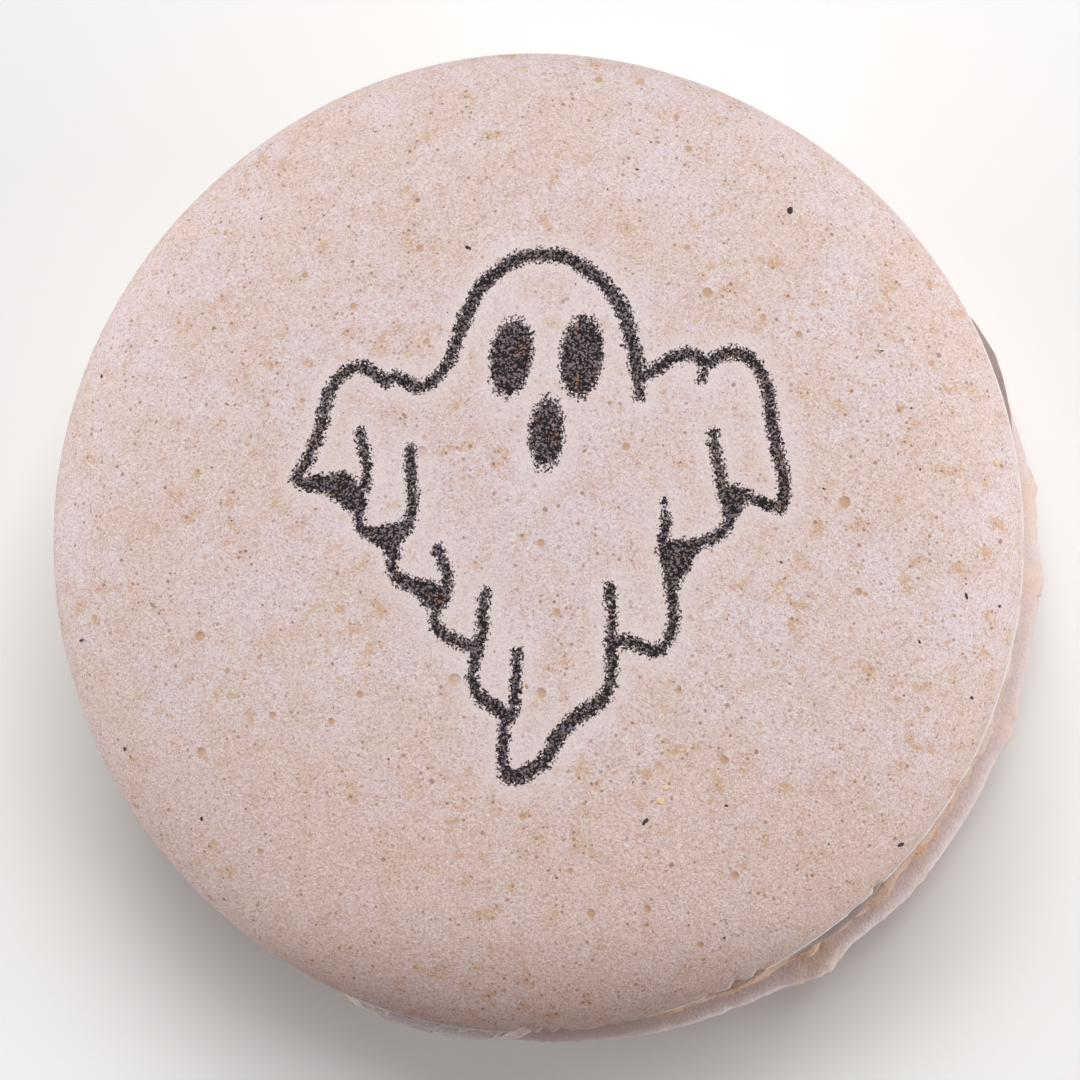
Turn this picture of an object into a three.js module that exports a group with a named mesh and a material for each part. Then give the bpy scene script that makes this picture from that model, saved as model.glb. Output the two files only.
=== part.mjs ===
// French macaron: two round almond shells, each a smooth dome on a ruffled foot,
// with a disc of ganache pressed between their flat sides.
// Millimetres, +Z up. It rests on the crown of the lower dome, and the origin is
// at the bottom centre of its bounding box.
import * as THREE from "three";

// Shells
const SHELL_RADIUS = 22.5; // at the lip, where the dome is widest
const DOME_HEIGHT = 6.1; // from the lip to the crown
const DOME_FULLNESS = 2.7; // superellipse power along the radius: higher is flatter on top
const DOME_ROUNDNESS = 2.15; // superellipse power along the height: higher is squarer
const FOOT_HEIGHT = 2.4; // the ruffled band between the flat side and the lip
const FOOT_BULGE = 0.55; // the foot's widest part past the crease under the lip
const FOOT_TURN_UNDER = 0.2; // how far the bulge's half wave has risen at the flat side
const SHELL_WOBBLE = 0.16; // unevenness of the round outline
const REST_RADIUS = 8; // the small flat spot that the lower dome rests on

// Filling
const FILLING_THICKNESS = 3.3; // on the axis
const FILLING_RADIUS = 21.3;
const FILLING_EDGE = 0.7; // how far the edge bulges past the faces that the shells press
const EDGE_POWER = 0.6; // below 1, the edge is fuller than a half circle's sine
const PRESSED = 0.3; // share of a swell that is left where the shells press the filling
const FILLING_WOBBLE = 0.22; // unevenness of its outline
const FILLING_SEED = 500;
const SEAM = 0.05; // clearance between the filling and each shell

// How the upper shell sits: turned up on one side, and not quite over the lower one
const OPEN_SIDE = -48; // degrees, the side where the shells stand further apart
const TILT = 1.1; // degrees
const LOWER_SHIFT = 1.05; // the lower shell's axis from the upper one's
const LOWER_SHIFT_SIDE = -42; // degrees

// Facets
const SEGMENTS = 144;
const DOME_ROWS = 9;
const FOOT_ROWS = 8;
const LIP_ROWS = 2;
const EDGE_ROWS = 6;
const DOME_SPREAD = 0.85; // below 1, the dome's rows crowd towards its crown

// Crags of the feet: how many go round, and the least and most of each size
const CRAGS = 96;
const CRAG_HEIGHT = [0.08, 0.42];
const CRAG_WIDTH = [1.8, 4.2];
const CRAG_TALL = [0.6, 1.2];
const CRAG_MIDDLE = [0.35, 1.9]; // above the flat side
const CRAG_SINK = 0.2; // the depth of the dents between them
const BOLD_MIDDLE = 1.1;
const BOLD_TALL = 1.2;
const LUMP_TALL = 1.1; // how far a lump of the lip goes up and down from the widest line

// The two shells. Each has its own seed for its uneven outline and its crags.
// footRadius is in the crease under the lip, and lipRounding is the lip's round underside.
// bold lists the crags that stand out by themselves: the side in degrees, height and width.
// lumps lists the soft swellings of the lip in the same way.
const UPPER = {
  seed: 1087,
  restRadius: 0,
  footRadius: 21.6,
  lipRounding: 0.25,
  bold: [
    [-110, 0.75, 5.2],
    [-101, 0.95, 5.6],
    [-94, 0.85, 4.6],
    [-84, 0.6, 3.6],
    [157, 0.8, 2.2],
    [43, 0.75, 2.4],
  ],
  lumps: [],
};
const LOWER = {
  seed: 4990,
  restRadius: REST_RADIUS,
  footRadius: 21.25,
  lipRounding: 0.5,
  bold: [],
  lumps: [
    [9, 0.22, 3.2],
    [-2, 0.3, 3.6],
    [-20, 0.26, 3.6],
    [-43, 0.12, 8],
    [-58, 0.5, 4.2],
  ],
};

// A swell of the filling past the shells' edges: its side in degrees, its reach and its width
const SWELLS = [
  [22, 1.75, 9.5],
  [-52, 1.45, 9],
  [-120, 0.5, 6],
  [112, 0.7, 9],
  [172, 0.5, 7],
];

const NEAR = 0.001; // closer than this to the axis or a level counts as on it
const radians = THREE.MathUtils.degToRad;

// A number from 0 to 1 that looks random and is the same for the same n.
function scatter(n) {
  const x = Math.sin(n * 12.9898 + 78.233) * 43758.5453;
  return x - Math.floor(x);
}

function between([low, high], share) {
  return low + (high - low) * share;
}

// 1 at the middle of a bump, falling smoothly to 0 at its rim, where d is 1.
function dome(d) {
  return Math.abs(d) < 1 ? (1 - d * d) ** 2 : 0;
}

// The angle from a to b by the shorter way, in radians.
function turnBetween(a, b) {
  return Math.atan2(Math.sin(a - b), Math.cos(a - b));
}

// A slow uneven swing of an outline with the angle, in millimetres.
function wobble(angle, size, seed) {
  let sum = 0;
  for (let waves = 2; waves <= 6; waves++)
    sum +=
      Math.cos(waves * angle + 2 * Math.PI * scatter(seed + waves)) / waves;
  return size * sum;
}

// The crags of one foot: small ones scattered round it, then the bold ones.
function cragsOf({ seed, bold }) {
  const crags = [];
  for (let i = 0; i < CRAGS; i++) {
    const n = seed + 10 * i;
    crags.push({
      angle: (2 * Math.PI * (i + scatter(n))) / CRAGS,
      height: between(CRAG_HEIGHT, scatter(n + 1) ** 1.5),
      width: between(CRAG_WIDTH, scatter(n + 2) ** 2),
      middle: between(CRAG_MIDDLE, scatter(n + 3)),
      tall: between(CRAG_TALL, scatter(n + 4)),
    });
  }
  for (const [side, height, width] of bold)
    crags.push({
      angle: radians(side),
      height,
      width,
      middle: BOLD_MIDDLE,
      tall: BOLD_TALL,
    });
  return crags;
}

// How far the foot stands out at an angle and a height above the flat side.
function cragAt(crags, angle, height) {
  let most = 0;
  for (const c of crags) {
    const across = (turnBetween(angle, c.angle) * SHELL_RADIUS) / (c.width / 2);
    const up = (height - c.middle) / c.tall;
    most = Math.max(most, c.height * dome(Math.hypot(across, up)));
  }
  return most;
}

// How far the lip's lumps swell at an angle.
function lumpAt(lumps, angle) {
  let most = 0;
  for (const [side, height, width] of lumps) {
    const across = (turnBetween(angle, radians(side)) * SHELL_RADIUS) / (width / 2);
    most = Math.max(most, height * dome(across));
  }
  return most;
}

// The foot's outline, from the flat side up to the crease under the lip.
function footProfile({ footRadius }) {
  const points = [];
  for (let i = 0; i < FOOT_ROWS; i++) {
    const share = i / (FOOT_ROWS - 1);
    const turn = Math.PI * between([FOOT_TURN_UNDER, 1], share);
    const bulge = FOOT_BULGE * Math.sin(turn);
    points.push(new THREE.Vector2(footRadius + bulge, FOOT_HEIGHT * share));
  }
  return points;
}

// The lip's round underside, from just above the crease to where the lip is widest.
function lipProfile({ lipRounding }) {
  const points = [];
  for (let i = 0; i < LIP_ROWS; i++) {
    const turn = (Math.PI / 2) * ((i + 0.5) / LIP_ROWS);
    const radius = SHELL_RADIUS - lipRounding * (1 - Math.sin(turn));
    const rise = lipRounding * (1 - Math.cos(turn));
    points.push(new THREE.Vector2(radius, FOOT_HEIGHT + rise));
  }
  return points;
}

// The dome's height at a radius, above the lip.
function domeRise(radius) {
  const rest = 1 - (radius / SHELL_RADIUS) ** DOME_FULLNESS;
  return DOME_HEIGHT * Math.max(rest, 0) ** (1 / DOME_ROUNDNESS);
}

// A shell's height from its flat side to its crown, or to the spot that it rests on.
function heightOf({ lipRounding, restRadius }) {
  return FOOT_HEIGHT + lipRounding + domeRise(restRadius);
}

// The dome's outline, from the lip in to the crown or to the edge of the spot it rests on.
function domeProfile(shell) {
  const points = [];
  const widest = FOOT_HEIGHT + shell.lipRounding;
  const last = Math.acos((shell.restRadius / SHELL_RADIUS) ** (DOME_FULLNESS / 2));
  for (let i = 0; i <= DOME_ROWS; i++) {
    const turn = last * (i / DOME_ROWS) ** DOME_SPREAD;
    const radius =
      SHELL_RADIUS * Math.max(Math.cos(turn), 0) ** (2 / DOME_FULLNESS);
    const rise = Math.sin(turn) ** (2 / DOME_ROUNDNESS);
    points.push(new THREE.Vector2(radius, widest + DOME_HEIGHT * rise));
  }
  return points;
}

// A shell's outline from the axis on its flat side, out over the foot and the lip, to the axis.
function shellProfile(shell) {
  const points = [
    new THREE.Vector2(0, 0),
    ...footProfile(shell),
    ...lipProfile(shell),
    ...domeProfile(shell),
  ];
  if (shell.restRadius) points.push(new THREE.Vector2(0, heightOf(shell)));
  else points.at(-1).x = 0;
  return points;
}

// Turns a profile round +Z, then moves each point by place(point, angle), which changes point.
function revolved(profile, place) {
  const geometry = new THREE.LatheGeometry(profile, SEGMENTS);
  geometry.rotateX(Math.PI / 2);
  const position = geometry.getAttribute("position");
  const turn = geometry.getAttribute("uv");
  const point = new THREE.Vector3();
  for (let i = 0; i < position.count; i++) {
    point.fromBufferAttribute(position, i);
    const step = Math.round(turn.getX(i) * SEGMENTS) % SEGMENTS;
    place(point, (2 * Math.PI * step) / SEGMENTS - Math.PI / 2);
    position.setXYZ(i, point.x, point.y, point.z);
  }
  geometry.computeVertexNormals();
  return geometry;
}

function meshOf(name, geometry, material) {
  const mesh = new THREE.Mesh(geometry, material);
  mesh.name = name;
  return mesh;
}

// One shell with its flat side at z = 0 and its crown up.
function shellGeometry(shell) {
  const crags = cragsOf(shell);
  return revolved(shellProfile(shell), (point, angle) => {
    const radius = Math.hypot(point.x, point.y);
    if (radius < NEAR) return;
    const out = (radius / SHELL_RADIUS) ** 2;
    let grown = radius + wobble(angle, SHELL_WOBBLE, shell.seed) * out;
    if (point.z < FOOT_HEIGHT + NEAR)
      grown += cragAt(crags, angle, point.z) - CRAG_SINK;
    const up = (point.z - FOOT_HEIGHT - shell.lipRounding) / LUMP_TALL;
    grown += lumpAt(shell.lumps, angle) * dome(up) * out;
    point.x = grown * Math.cos(angle);
    point.y = grown * Math.sin(angle);
  });
}

// The rise of the upper shell's flat side at a point, from its tilt.
function lift(x, y) {
  const side = radians(OPEN_SIDE);
  return (x * Math.cos(side) + y * Math.sin(side)) * Math.tan(radians(TILT));
}

// How far out the filling's edge bulges at a share of its height, from 0 to 1.
function bulgeAt(share) {
  return Math.max(Math.sin(share * Math.PI), 0) ** EDGE_POWER;
}

// How far the filling's edge stands past its round outline at an angle.
function swellAt(angle) {
  let sum = wobble(angle, FILLING_WOBBLE, FILLING_SEED);
  for (const [side, reach, width] of SWELLS) {
    const away = turnBetween(angle, radians(side)) * FILLING_RADIUS;
    sum += reach * dome(away / width);
  }
  return sum;
}

// The disc of filling, from z = 0 up to the tilted flat side of the upper shell.
function fillingGeometry() {
  const top = FILLING_THICKNESS;
  const profile = [new THREE.Vector2(0, 0)];
  for (let i = 0; i <= EDGE_ROWS; i++) {
    const share = i / EDGE_ROWS;
    const radius = FILLING_RADIUS - FILLING_EDGE * (1 - bulgeAt(share));
    profile.push(new THREE.Vector2(radius, top * share));
  }
  profile.push(new THREE.Vector2(0, top));
  return revolved(profile, (point, angle) => {
    const radius = Math.hypot(point.x, point.y);
    const rise = point.z / top;
    if (radius > NEAR) {
      const grown = radius + swellAt(angle) * between([PRESSED, 1], bulgeAt(rise));
      point.x = grown * Math.cos(angle);
      point.y = grown * Math.sin(angle);
    }
    point.z += lift(point.x, point.y) * rise;
  });
}

const LOWER_HEIGHT = heightOf(LOWER);

const shellMaterial = new THREE.MeshStandardMaterial({
  color: new THREE.Color(0xdcc4bc),
  roughness: 0.85,
  metalness: 0,
});
const fillingMaterial = new THREE.MeshStandardMaterial({
  color: new THREE.Color(0xb9a29a),
  roughness: 0.5,
  metalness: 0,
});

// The lower shell, crown down on z = 0.
function lowerShell() {
  const geometry = shellGeometry(LOWER);
  const position = geometry.getAttribute("position");
  const side = radians(LOWER_SHIFT_SIDE);
  for (let i = 0; i < position.count; i++)
    position.setXYZ(
      i,
      position.getX(i) + LOWER_SHIFT * Math.cos(side),
      position.getY(i) + LOWER_SHIFT * Math.sin(side),
      LOWER_HEIGHT - position.getZ(i),
    );
  reverseFaces(geometry);
  return meshOf("bottom_shell", geometry, shellMaterial);
}

// Turns every face round, as a mirrored mesh needs.
function reverseFaces(geometry) {
  const index = geometry.getIndex();
  for (let i = 0; i < index.count; i += 3) {
    const second = index.getX(i + 1);
    index.setX(i + 1, index.getX(i + 2));
    index.setX(i + 2, second);
  }
  geometry.computeVertexNormals();
}

function filling() {
  const mesh = meshOf("filling", fillingGeometry(), fillingMaterial);
  mesh.position.z = LOWER_HEIGHT + SEAM;
  return mesh;
}

// The upper shell, crown up, with its flat side on the filling's tilted top.
function upperShell() {
  const geometry = shellGeometry(UPPER);
  const position = geometry.getAttribute("position");
  const floor = LOWER_HEIGHT + FILLING_THICKNESS + 2 * SEAM;
  for (let i = 0; i < position.count; i++) {
    const rise = floor + lift(position.getX(i), position.getY(i));
    position.setZ(i, position.getZ(i) + rise);
  }
  return meshOf("top_shell", geometry, shellMaterial);
}

const macaron = new THREE.Group();
macaron.name = "macaron";
macaron.add(lowerShell(), filling(), upperShell());

// The origin goes to the bottom centre of the bounding box.
const box = new THREE.Box3().setFromObject(macaron);
const centre = box.getCenter(new THREE.Vector3());
macaron.position.set(-centre.x, -centre.y, -box.min.z);

export default macaron;
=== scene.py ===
"""Looks of a French macaron with a ghost printed on its upper shell.

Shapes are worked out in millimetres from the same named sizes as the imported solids,
and each mesh is turned to metres when it is finished.
"""

import logging
import math
import random
from collections.abc import Iterable, Sequence
from dataclasses import dataclass, field
from enum import Enum

import bmesh
import bpy
import numpy as np
from mathutils import Matrix, Vector, noise

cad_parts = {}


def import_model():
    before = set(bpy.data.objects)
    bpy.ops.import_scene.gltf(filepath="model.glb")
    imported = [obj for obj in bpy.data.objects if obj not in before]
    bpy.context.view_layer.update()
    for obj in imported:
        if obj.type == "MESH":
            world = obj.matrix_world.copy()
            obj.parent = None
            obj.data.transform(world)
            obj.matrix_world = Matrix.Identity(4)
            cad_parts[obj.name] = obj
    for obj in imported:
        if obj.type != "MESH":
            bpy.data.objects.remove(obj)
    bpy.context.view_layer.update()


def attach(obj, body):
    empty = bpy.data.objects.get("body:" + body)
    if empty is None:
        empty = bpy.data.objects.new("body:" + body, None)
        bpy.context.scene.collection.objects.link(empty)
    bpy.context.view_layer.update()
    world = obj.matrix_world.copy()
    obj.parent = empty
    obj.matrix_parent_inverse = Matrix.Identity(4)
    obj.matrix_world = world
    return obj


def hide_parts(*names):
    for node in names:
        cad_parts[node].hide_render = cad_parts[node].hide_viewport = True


LOG = logging.getLogger("macaron")
MM = 0.001

# The upper shell's axis in the frame, in millimetres.
AXIS = Vector((-0.5600, 0.3363, 0.0))

Colour = tuple[float, float, float]
Paint = bpy.types.NodeSocket | Colour


def scatter(n: float) -> float:
    """A number from 0 to 1 that looks random and is the same for the same n."""
    x = math.sin(n * 12.9898 + 78.233) * 43758.5453
    return x - math.floor(x)


def between(low: float, high: float, share: float) -> float:
    """The value at a share of the way from low to high."""
    return low + (high - low) * share


def dome(d: np.ndarray) -> np.ndarray:
    """1 at the middle of a bump, falling smoothly to 0 at its rim, where d is 1."""
    return np.where(np.abs(d) < 1, (1 - d * d) ** 2, 0.0)


def smooth_step(low: float, high: float, x: np.ndarray) -> np.ndarray:
    """0 below low, 1 above high and a smooth rise between them."""
    t = np.clip((x - low) / (high - low), 0, 1)
    return t * t * (3 - 2 * t)


def turn_between(a: np.ndarray, b: float) -> np.ndarray:
    """The angle from b to a by the shorter way, in radians."""
    return np.arctan2(np.sin(a - b), np.cos(a - b))


def wobble(angle: np.ndarray, size: float, seed: int) -> np.ndarray:
    """A slow uneven swing of an outline.

    Args:
        angle: The side of each place, in radians.
        size: The height of the swing, in millimetres.
        seed: A number that picks the swing.

    Returns:
        How far out each place swings, in millimetres.
    """
    waves = range(2, 7)
    return size * sum(
        np.cos(n * angle + 2 * math.pi * scatter(seed + n)) / n for n in waves
    )


def coordinates(bm: bmesh.types.BMesh) -> np.ndarray:
    """The places of all vertices, one row each."""
    return np.array([v.co[:] for v in bm.verts])


def hold(bm: bmesh.types.BMesh, name: str, values: Iterable[float]) -> None:
    """Keeps a number for each vertex that a finish can read.

    Args:
        bm: The mesh.
        name: What the finish knows the numbers by.
        values: The numbers, in the order of the vertices.
    """
    layer = bm.verts.layers.float.new(name)
    for vertex, value in zip(bm.verts, values):
        vertex[layer] = float(value)


def place_vertices(bm: bmesh.types.BMesh, places: np.ndarray) -> None:
    """Moves every vertex to its row of places."""
    for vertex, place in zip(bm.verts, places):
        vertex.co = place


def fractal(places: np.ndarray, size: float, octaves: int = 3) -> np.ndarray:
    """Soft noise of about -1 to 1 at each place.

    Args:
        places: One row for each place, in millimetres.
        size: The width of the noise's largest forms, in millimetres.
        octaves: How many finer layers it has.

    Returns:
        One value for each place.
    """
    return np.array(
        [noise.fractal(Vector(p) / size, 1.0, 2.0, octaves) for p in places]
    )


def bubbles(places: np.ndarray, size: float, share: float) -> np.ndarray:
    """1 at the middle of scattered round hollows and 0 between them.

    Args:
        places: One row for each place, in millimetres.
        size: The mean distance between hollows, in millimetres.
        share: The hollows' radius as a share of that distance.

    Returns:
        One value for each place.
    """
    nearest = np.array([noise.voronoi(Vector(p) / size)[0][0] for p in places])
    return np.clip(1 - (nearest / share) ** 2, 0, 1)


@dataclass(frozen=True)
class Uneven:
    """Soft unevenness of a skin: its height and width in millimetres."""

    height: float
    width: float
    octaves: int = 3

    def at(self, places: np.ndarray) -> np.ndarray:
        """How far out each place stands, in millimetres."""
        return self.height * fractal(places, self.width, self.octaves)


@dataclass(frozen=True)
class Hollows:
    """Scattered round hollows: depth, spacing, and radius as a share of the spacing."""

    depth: float
    spacing: float
    share: float

    def at(self, places: np.ndarray) -> np.ndarray:
        """How far out each place stands, in millimetres and never above 0."""
        return -self.depth * bubbles(places, self.spacing, self.share)


@dataclass(frozen=True)
class Chips:
    """Chips along an edge: their depth and width, and how much of it stays whole."""

    depth: float
    width: float
    whole: float = 0.0
    octaves: int = 3

    def at(self, places: np.ndarray) -> np.ndarray:
        """How deep the edge is chipped at each place, in millimetres."""
        rough = fractal(places, self.width, self.octaves)
        return self.depth * np.clip(rough - self.whole, 0, 1)


class Value:
    """A shader socket that holds a number, with arithmetic that adds Math nodes."""

    def __init__(self, graph: "Graph", socket: bpy.types.NodeSocket) -> None:
        """Wraps a socket of a graph."""
        self.graph = graph
        self.socket = socket

    def _math(self, operation: str, *values: "Value | float") -> "Value":
        """A Math node on these values."""
        inputs = dict(enumerate(values))
        node = self.graph.node("ShaderNodeMath", {"operation": operation}, inputs)
        return Value(self.graph, node.outputs[0])

    def __add__(self, other: "Value | float") -> "Value":
        """The sum."""
        return self._math("ADD", self, other)

    __radd__ = __add__

    def __sub__(self, other: "Value | float") -> "Value":
        """The difference."""
        return self._math("SUBTRACT", self, other)

    def __rsub__(self, other: float) -> "Value":
        """The difference, the other way round."""
        return self._math("SUBTRACT", other, self)

    def __mul__(self, other: "Value | float") -> "Value":
        """The product."""
        return self._math("MULTIPLY", self, other)

    __rmul__ = __mul__

    def rises(self, low: float, high: float) -> "Value":
        """0 at low and 1 at high, with a smooth step between; low may be the higher.

        Args:
            low: Where the step starts.
            high: Where the step ends.

        Returns:
            The step as a value.
        """
        node = self.graph.node(
            "ShaderNodeMapRange",
            {"interpolation_type": "SMOOTHSTEP"},
            {"Value": self, "From Min": low, "From Max": high},
        )
        return Value(self.graph, node.outputs[0])


class Graph:
    """The node tree of one material, with its patterns sized in millimetres."""

    def __init__(self, name: str) -> None:
        """Starts an empty material.

        Args:
            name: The material's name.
        """
        self.material = bpy.data.materials.new(name)
        self.material.use_nodes = True
        self.tree = self.material.node_tree
        self.tree.nodes.clear()
        self.place = self.node("ShaderNodeTexCoord").outputs["Object"]

    def node(
        self, kind: str, settings: dict | None = None, inputs: dict | None = None
    ) -> bpy.types.Node:
        """Adds a node.

        Args:
            kind: The node's type.
            settings: Its own properties, set before its sockets.
            inputs: Socket name, identifier or number to a value or a link.

        Returns:
            The node.
        """
        made = self.tree.nodes.new(kind)
        for key, value in (settings or {}).items():
            setattr(made, key, value)
        for key, value in (inputs or {}).items():
            self._feed(self._socket(made, key), value)
        return made

    @staticmethod
    def _socket(node: bpy.types.Node, key: int | str) -> bpy.types.NodeSocket:
        """Finds an input.

        Args:
            node: The node.
            key: The input's number, identifier or name.

        Returns:
            The input.
        """
        if isinstance(key, int):
            return node.inputs[key]
        matches = [s for s in node.inputs if s.identifier == key]
        return matches[0] if matches else node.inputs[key]

    def _feed(self, socket: bpy.types.NodeSocket, value: object) -> None:
        """Links a value's socket to an input, or sets the input's own value.

        Args:
            socket: The input.
            value: What it gets: a number, a colour, a value or a socket.
        """
        if isinstance(value, Value):
            value = value.socket
        if isinstance(value, bpy.types.NodeSocket):
            self.tree.links.new(value, socket)
        elif isinstance(value, tuple) and socket.type == "RGBA":
            socket.default_value = (*value, 1.0)
        else:
            socket.default_value = value

    def attribute(self, name: str) -> Value:
        """A number that the mesh holds at each vertex."""
        node = self.node("ShaderNodeAttribute", {"attribute_name": name})
        return Value(self, node.outputs["Fac"])

    def noise(self, size: float, detail: float, rough: float = 0.5) -> Value:
        """Soft noise.

        Args:
            size: The width of its largest forms, in millimetres.
            detail: How many finer layers it has.
            rough: How strong the finer layers are.

        Returns:
            The noise, from 0 to 1.
        """
        inputs = {
            "Vector": self.place,
            "Scale": 1 / (size * MM),
            "Detail": detail,
            "Roughness": rough,
        }
        return Value(self, self.node("ShaderNodeTexNoise", None, inputs).outputs[0])

    def grains(self, size: float, channel: int = 0) -> Value:
        """A random number from 0 to 1 for each grain.

        Args:
            size: The grains' mean width, in millimetres.
            channel: 0, 1 or 2 for three unlike draws on the same grains.

        Returns:
            The draw.
        """
        _, draws = self._cells(size)
        return Value(self, draws.outputs[channel])

    def _cells(self, spacing: float) -> tuple[bpy.types.Node, bpy.types.Node]:
        """Cells of a mean width, and three random numbers for each.

        Args:
            spacing: The cells' mean width, in millimetres.

        Returns:
            The node of the cells and the node of their numbers.
        """
        inputs = {"Vector": self.place, "Scale": 1 / (spacing * MM)}
        cells = self.node("ShaderNodeTexVoronoi", None, inputs)
        inputs = {"Color": cells.outputs["Color"]}
        return cells, self.node("ShaderNodeSeparateColor", None, inputs)

    def dots(self, spacing: float, radius: float, amount: float) -> Value:
        """Scattered soft round dots of unlike sizes.

        Args:
            spacing: The mean distance between dots, in millimetres.
            radius: The radius of the largest dots, in millimetres.
            amount: The share of the places that have a dot.

        Returns:
            1 in a dot's middle and 0 outside it.
        """
        sharp, smallest, soft = 0.01, 0.4, 0.4
        cells, draws = self._cells(spacing)
        there = Value(self, draws.outputs[0]).rises(amount + sharp, amount - sharp)
        size = Value(self, draws.outputs[1]) * (1 - smallest) + smallest
        distance = Value(self, cells.outputs["Distance"])
        reach = size * (radius / spacing)
        return (reach - distance).rises(0.0, soft * radius / spacing) * there

    def mix(
        self,
        share: Value | float,
        a: Paint,
        b: Paint,
        blend: str = "MIX",
    ) -> bpy.types.NodeSocket:
        """Lays one colour over another.

        Args:
            share: How much of the upper colour shows.
            a: The lower colour.
            b: The upper colour.
            blend: How the upper colour is laid on.

        Returns:
            The mixed colour.
        """
        node = self.node(
            "ShaderNodeMix",
            {"data_type": "RGBA", "blend_type": blend},
            {"Factor_Float": share, "A_Color": a, "B_Color": b},
        )
        return next(s for s in node.outputs if s.identifier == "Result_Color")

    def bump(
        self,
        height: Value,
        depth: float,
        strength: float,
        under: bpy.types.NodeSocket | None = None,
    ) -> bpy.types.NodeSocket:
        """A relief in the shading.

        Args:
            height: The relief, from 0 to 1.
            depth: How deep it is at 1, in millimetres.
            strength: How much of it shows.
            under: A normal that it lies on.

        Returns:
            The normal.
        """
        inputs = {"Height": height, "Distance": depth * MM, "Strength": strength}
        if under is not None:
            inputs["Normal"] = under
        return self.node("ShaderNodeBump", None, inputs).outputs["Normal"]

    def surface(self, **inputs: object) -> bpy.types.Material:
        """Ends the graph in one shader.

        Args:
            inputs: The shader's inputs, with _ for the spaces in their names.

        Returns:
            The finished material.
        """
        named = {key.replace("_", " "): value for key, value in inputs.items()}
        shader = self.node("ShaderNodeBsdfPrincipled", None, named)
        output = self.node("ShaderNodeOutputMaterial")
        self.tree.links.new(shader.outputs[0], output.inputs["Surface"])
        return self.material


class Slot(Enum):
    """The record's material slots."""

    SHELL = "shell"
    FILLING = "filling"


@dataclass(frozen=True)
class Patches:
    """Soft patches, sized in millimetres.

    They start where the noise is at start and are whole where it is at full. There,
    they cover the given share.
    """

    size: float
    start: float
    full: float
    share: float = 1.0
    detail: float = 3.0
    rough: float = 0.5

    def on(self, graph: Graph) -> Value:
        """How much the patches cover."""
        soft = graph.noise(self.size, self.detail, self.rough)
        return soft.rises(self.start, self.full) * self.share


@dataclass(frozen=True)
class Dots:
    """Soft round dots: spacing and radius in millimetres, amount, and cover."""

    spacing: float
    radius: float
    amount: float
    share: float

    def on(self, graph: Graph) -> Value:
        """How much the dots cover."""
        return graph.dots(self.spacing, self.radius, self.amount) * self.share


@dataclass(frozen=True)
class Grain:
    """Fine grains: the draws under dark_to are dark, and those over light_from light."""

    size: float
    dark_to: float
    dark: float
    light_from: float = 0.7
    light: float = 0.0

    def over(
        self, graph: Graph, colour: Paint, darker: Colour, lighter: Colour
    ) -> bpy.types.NodeSocket:
        """Lays the grains over a colour.

        Args:
            graph: The finish's graph.
            colour: The colour under them.
            darker: The dark grains' colour.
            lighter: The light grains' colour.

        Returns:
            The colour with its grains.
        """
        grain = graph.grains(self.size)
        colour = graph.mix(grain.rises(self.dark_to, 0.0) * self.dark, colour, darker)
        return graph.mix(grain.rises(self.light_from, 1.0) * self.light, colour, lighter)


@dataclass(frozen=True)
class Relief:
    """Fine relief in the shading: its width, layers and depth, and how much shows."""

    size: float
    detail: float
    rough: float
    depth: float
    strength: float

    def on(
        self, graph: Graph, under: bpy.types.NodeSocket | None = None
    ) -> bpy.types.NodeSocket:
        """The normal of this relief on another one."""
        soft = graph.noise(self.size, self.detail, self.rough)
        return graph.bump(soft, self.depth, self.strength, under)


@dataclass(frozen=True)
class InkFinish:
    """Grainy black print ink with brown stains and a pale halo.

    The edges' places are distances from the ink's own edge, in millimetres.
    """

    black: Colour = (0.008, 0.006, 0.008)
    grey: Colour = (0.235, 0.182, 0.200)
    brown: Colour = (0.270, 0.145, 0.090)
    halo: Colour = (0.800, 0.700, 0.710)
    halo_ends: tuple[float, float] = (1.2, 0.1)
    halo_share: float = 0.55
    grain_size: float = 0.074
    edge_grain_size: float = 0.078
    edge_grain: float = 0.28
    edge_ragged: float = 0.34
    edge_size: float = 0.25
    spread: float = 0.035
    soft: float = 0.03
    stains: Patches = Patches(0.8, 0.55, 0.68, detail=4)
    stain_ends: tuple[float, float] = (-0.05, -0.3)
    grey_grains: tuple[float, float] = (0.52, 0.84)
    cover: float = 0.98

    def over(self, graph: Graph, colour: bpy.types.NodeSocket) -> bpy.types.NodeSocket:
        """Lays the ink and its halo over the skin's colour.

        Args:
            graph: The finish's graph.
            colour: The skin's colour.

        Returns:
            The printed skin's colour.
        """
        ink = graph.attribute("ink")
        colour = graph.mix(ink.rises(*self.halo_ends) * self.halo_share, colour, self.halo)
        grain, other = graph.grains(self.grain_size), graph.grains(self.edge_grain_size, 1)
        swing = (graph.noise(self.edge_size, 3) - 0.5) * self.edge_ragged
        ragged = ink - self.spread + (other - 0.5) * self.edge_grain + swing
        stain = self.stains.on(graph) * ink.rises(*self.stain_ends)
        light = graph.mix(stain, self.grey, self.brown)
        speck = graph.mix(grain.rises(*self.grey_grains), self.black, light)
        return graph.mix(ragged.rises(self.soft, -self.soft) * self.cover, colour, speck)


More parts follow.
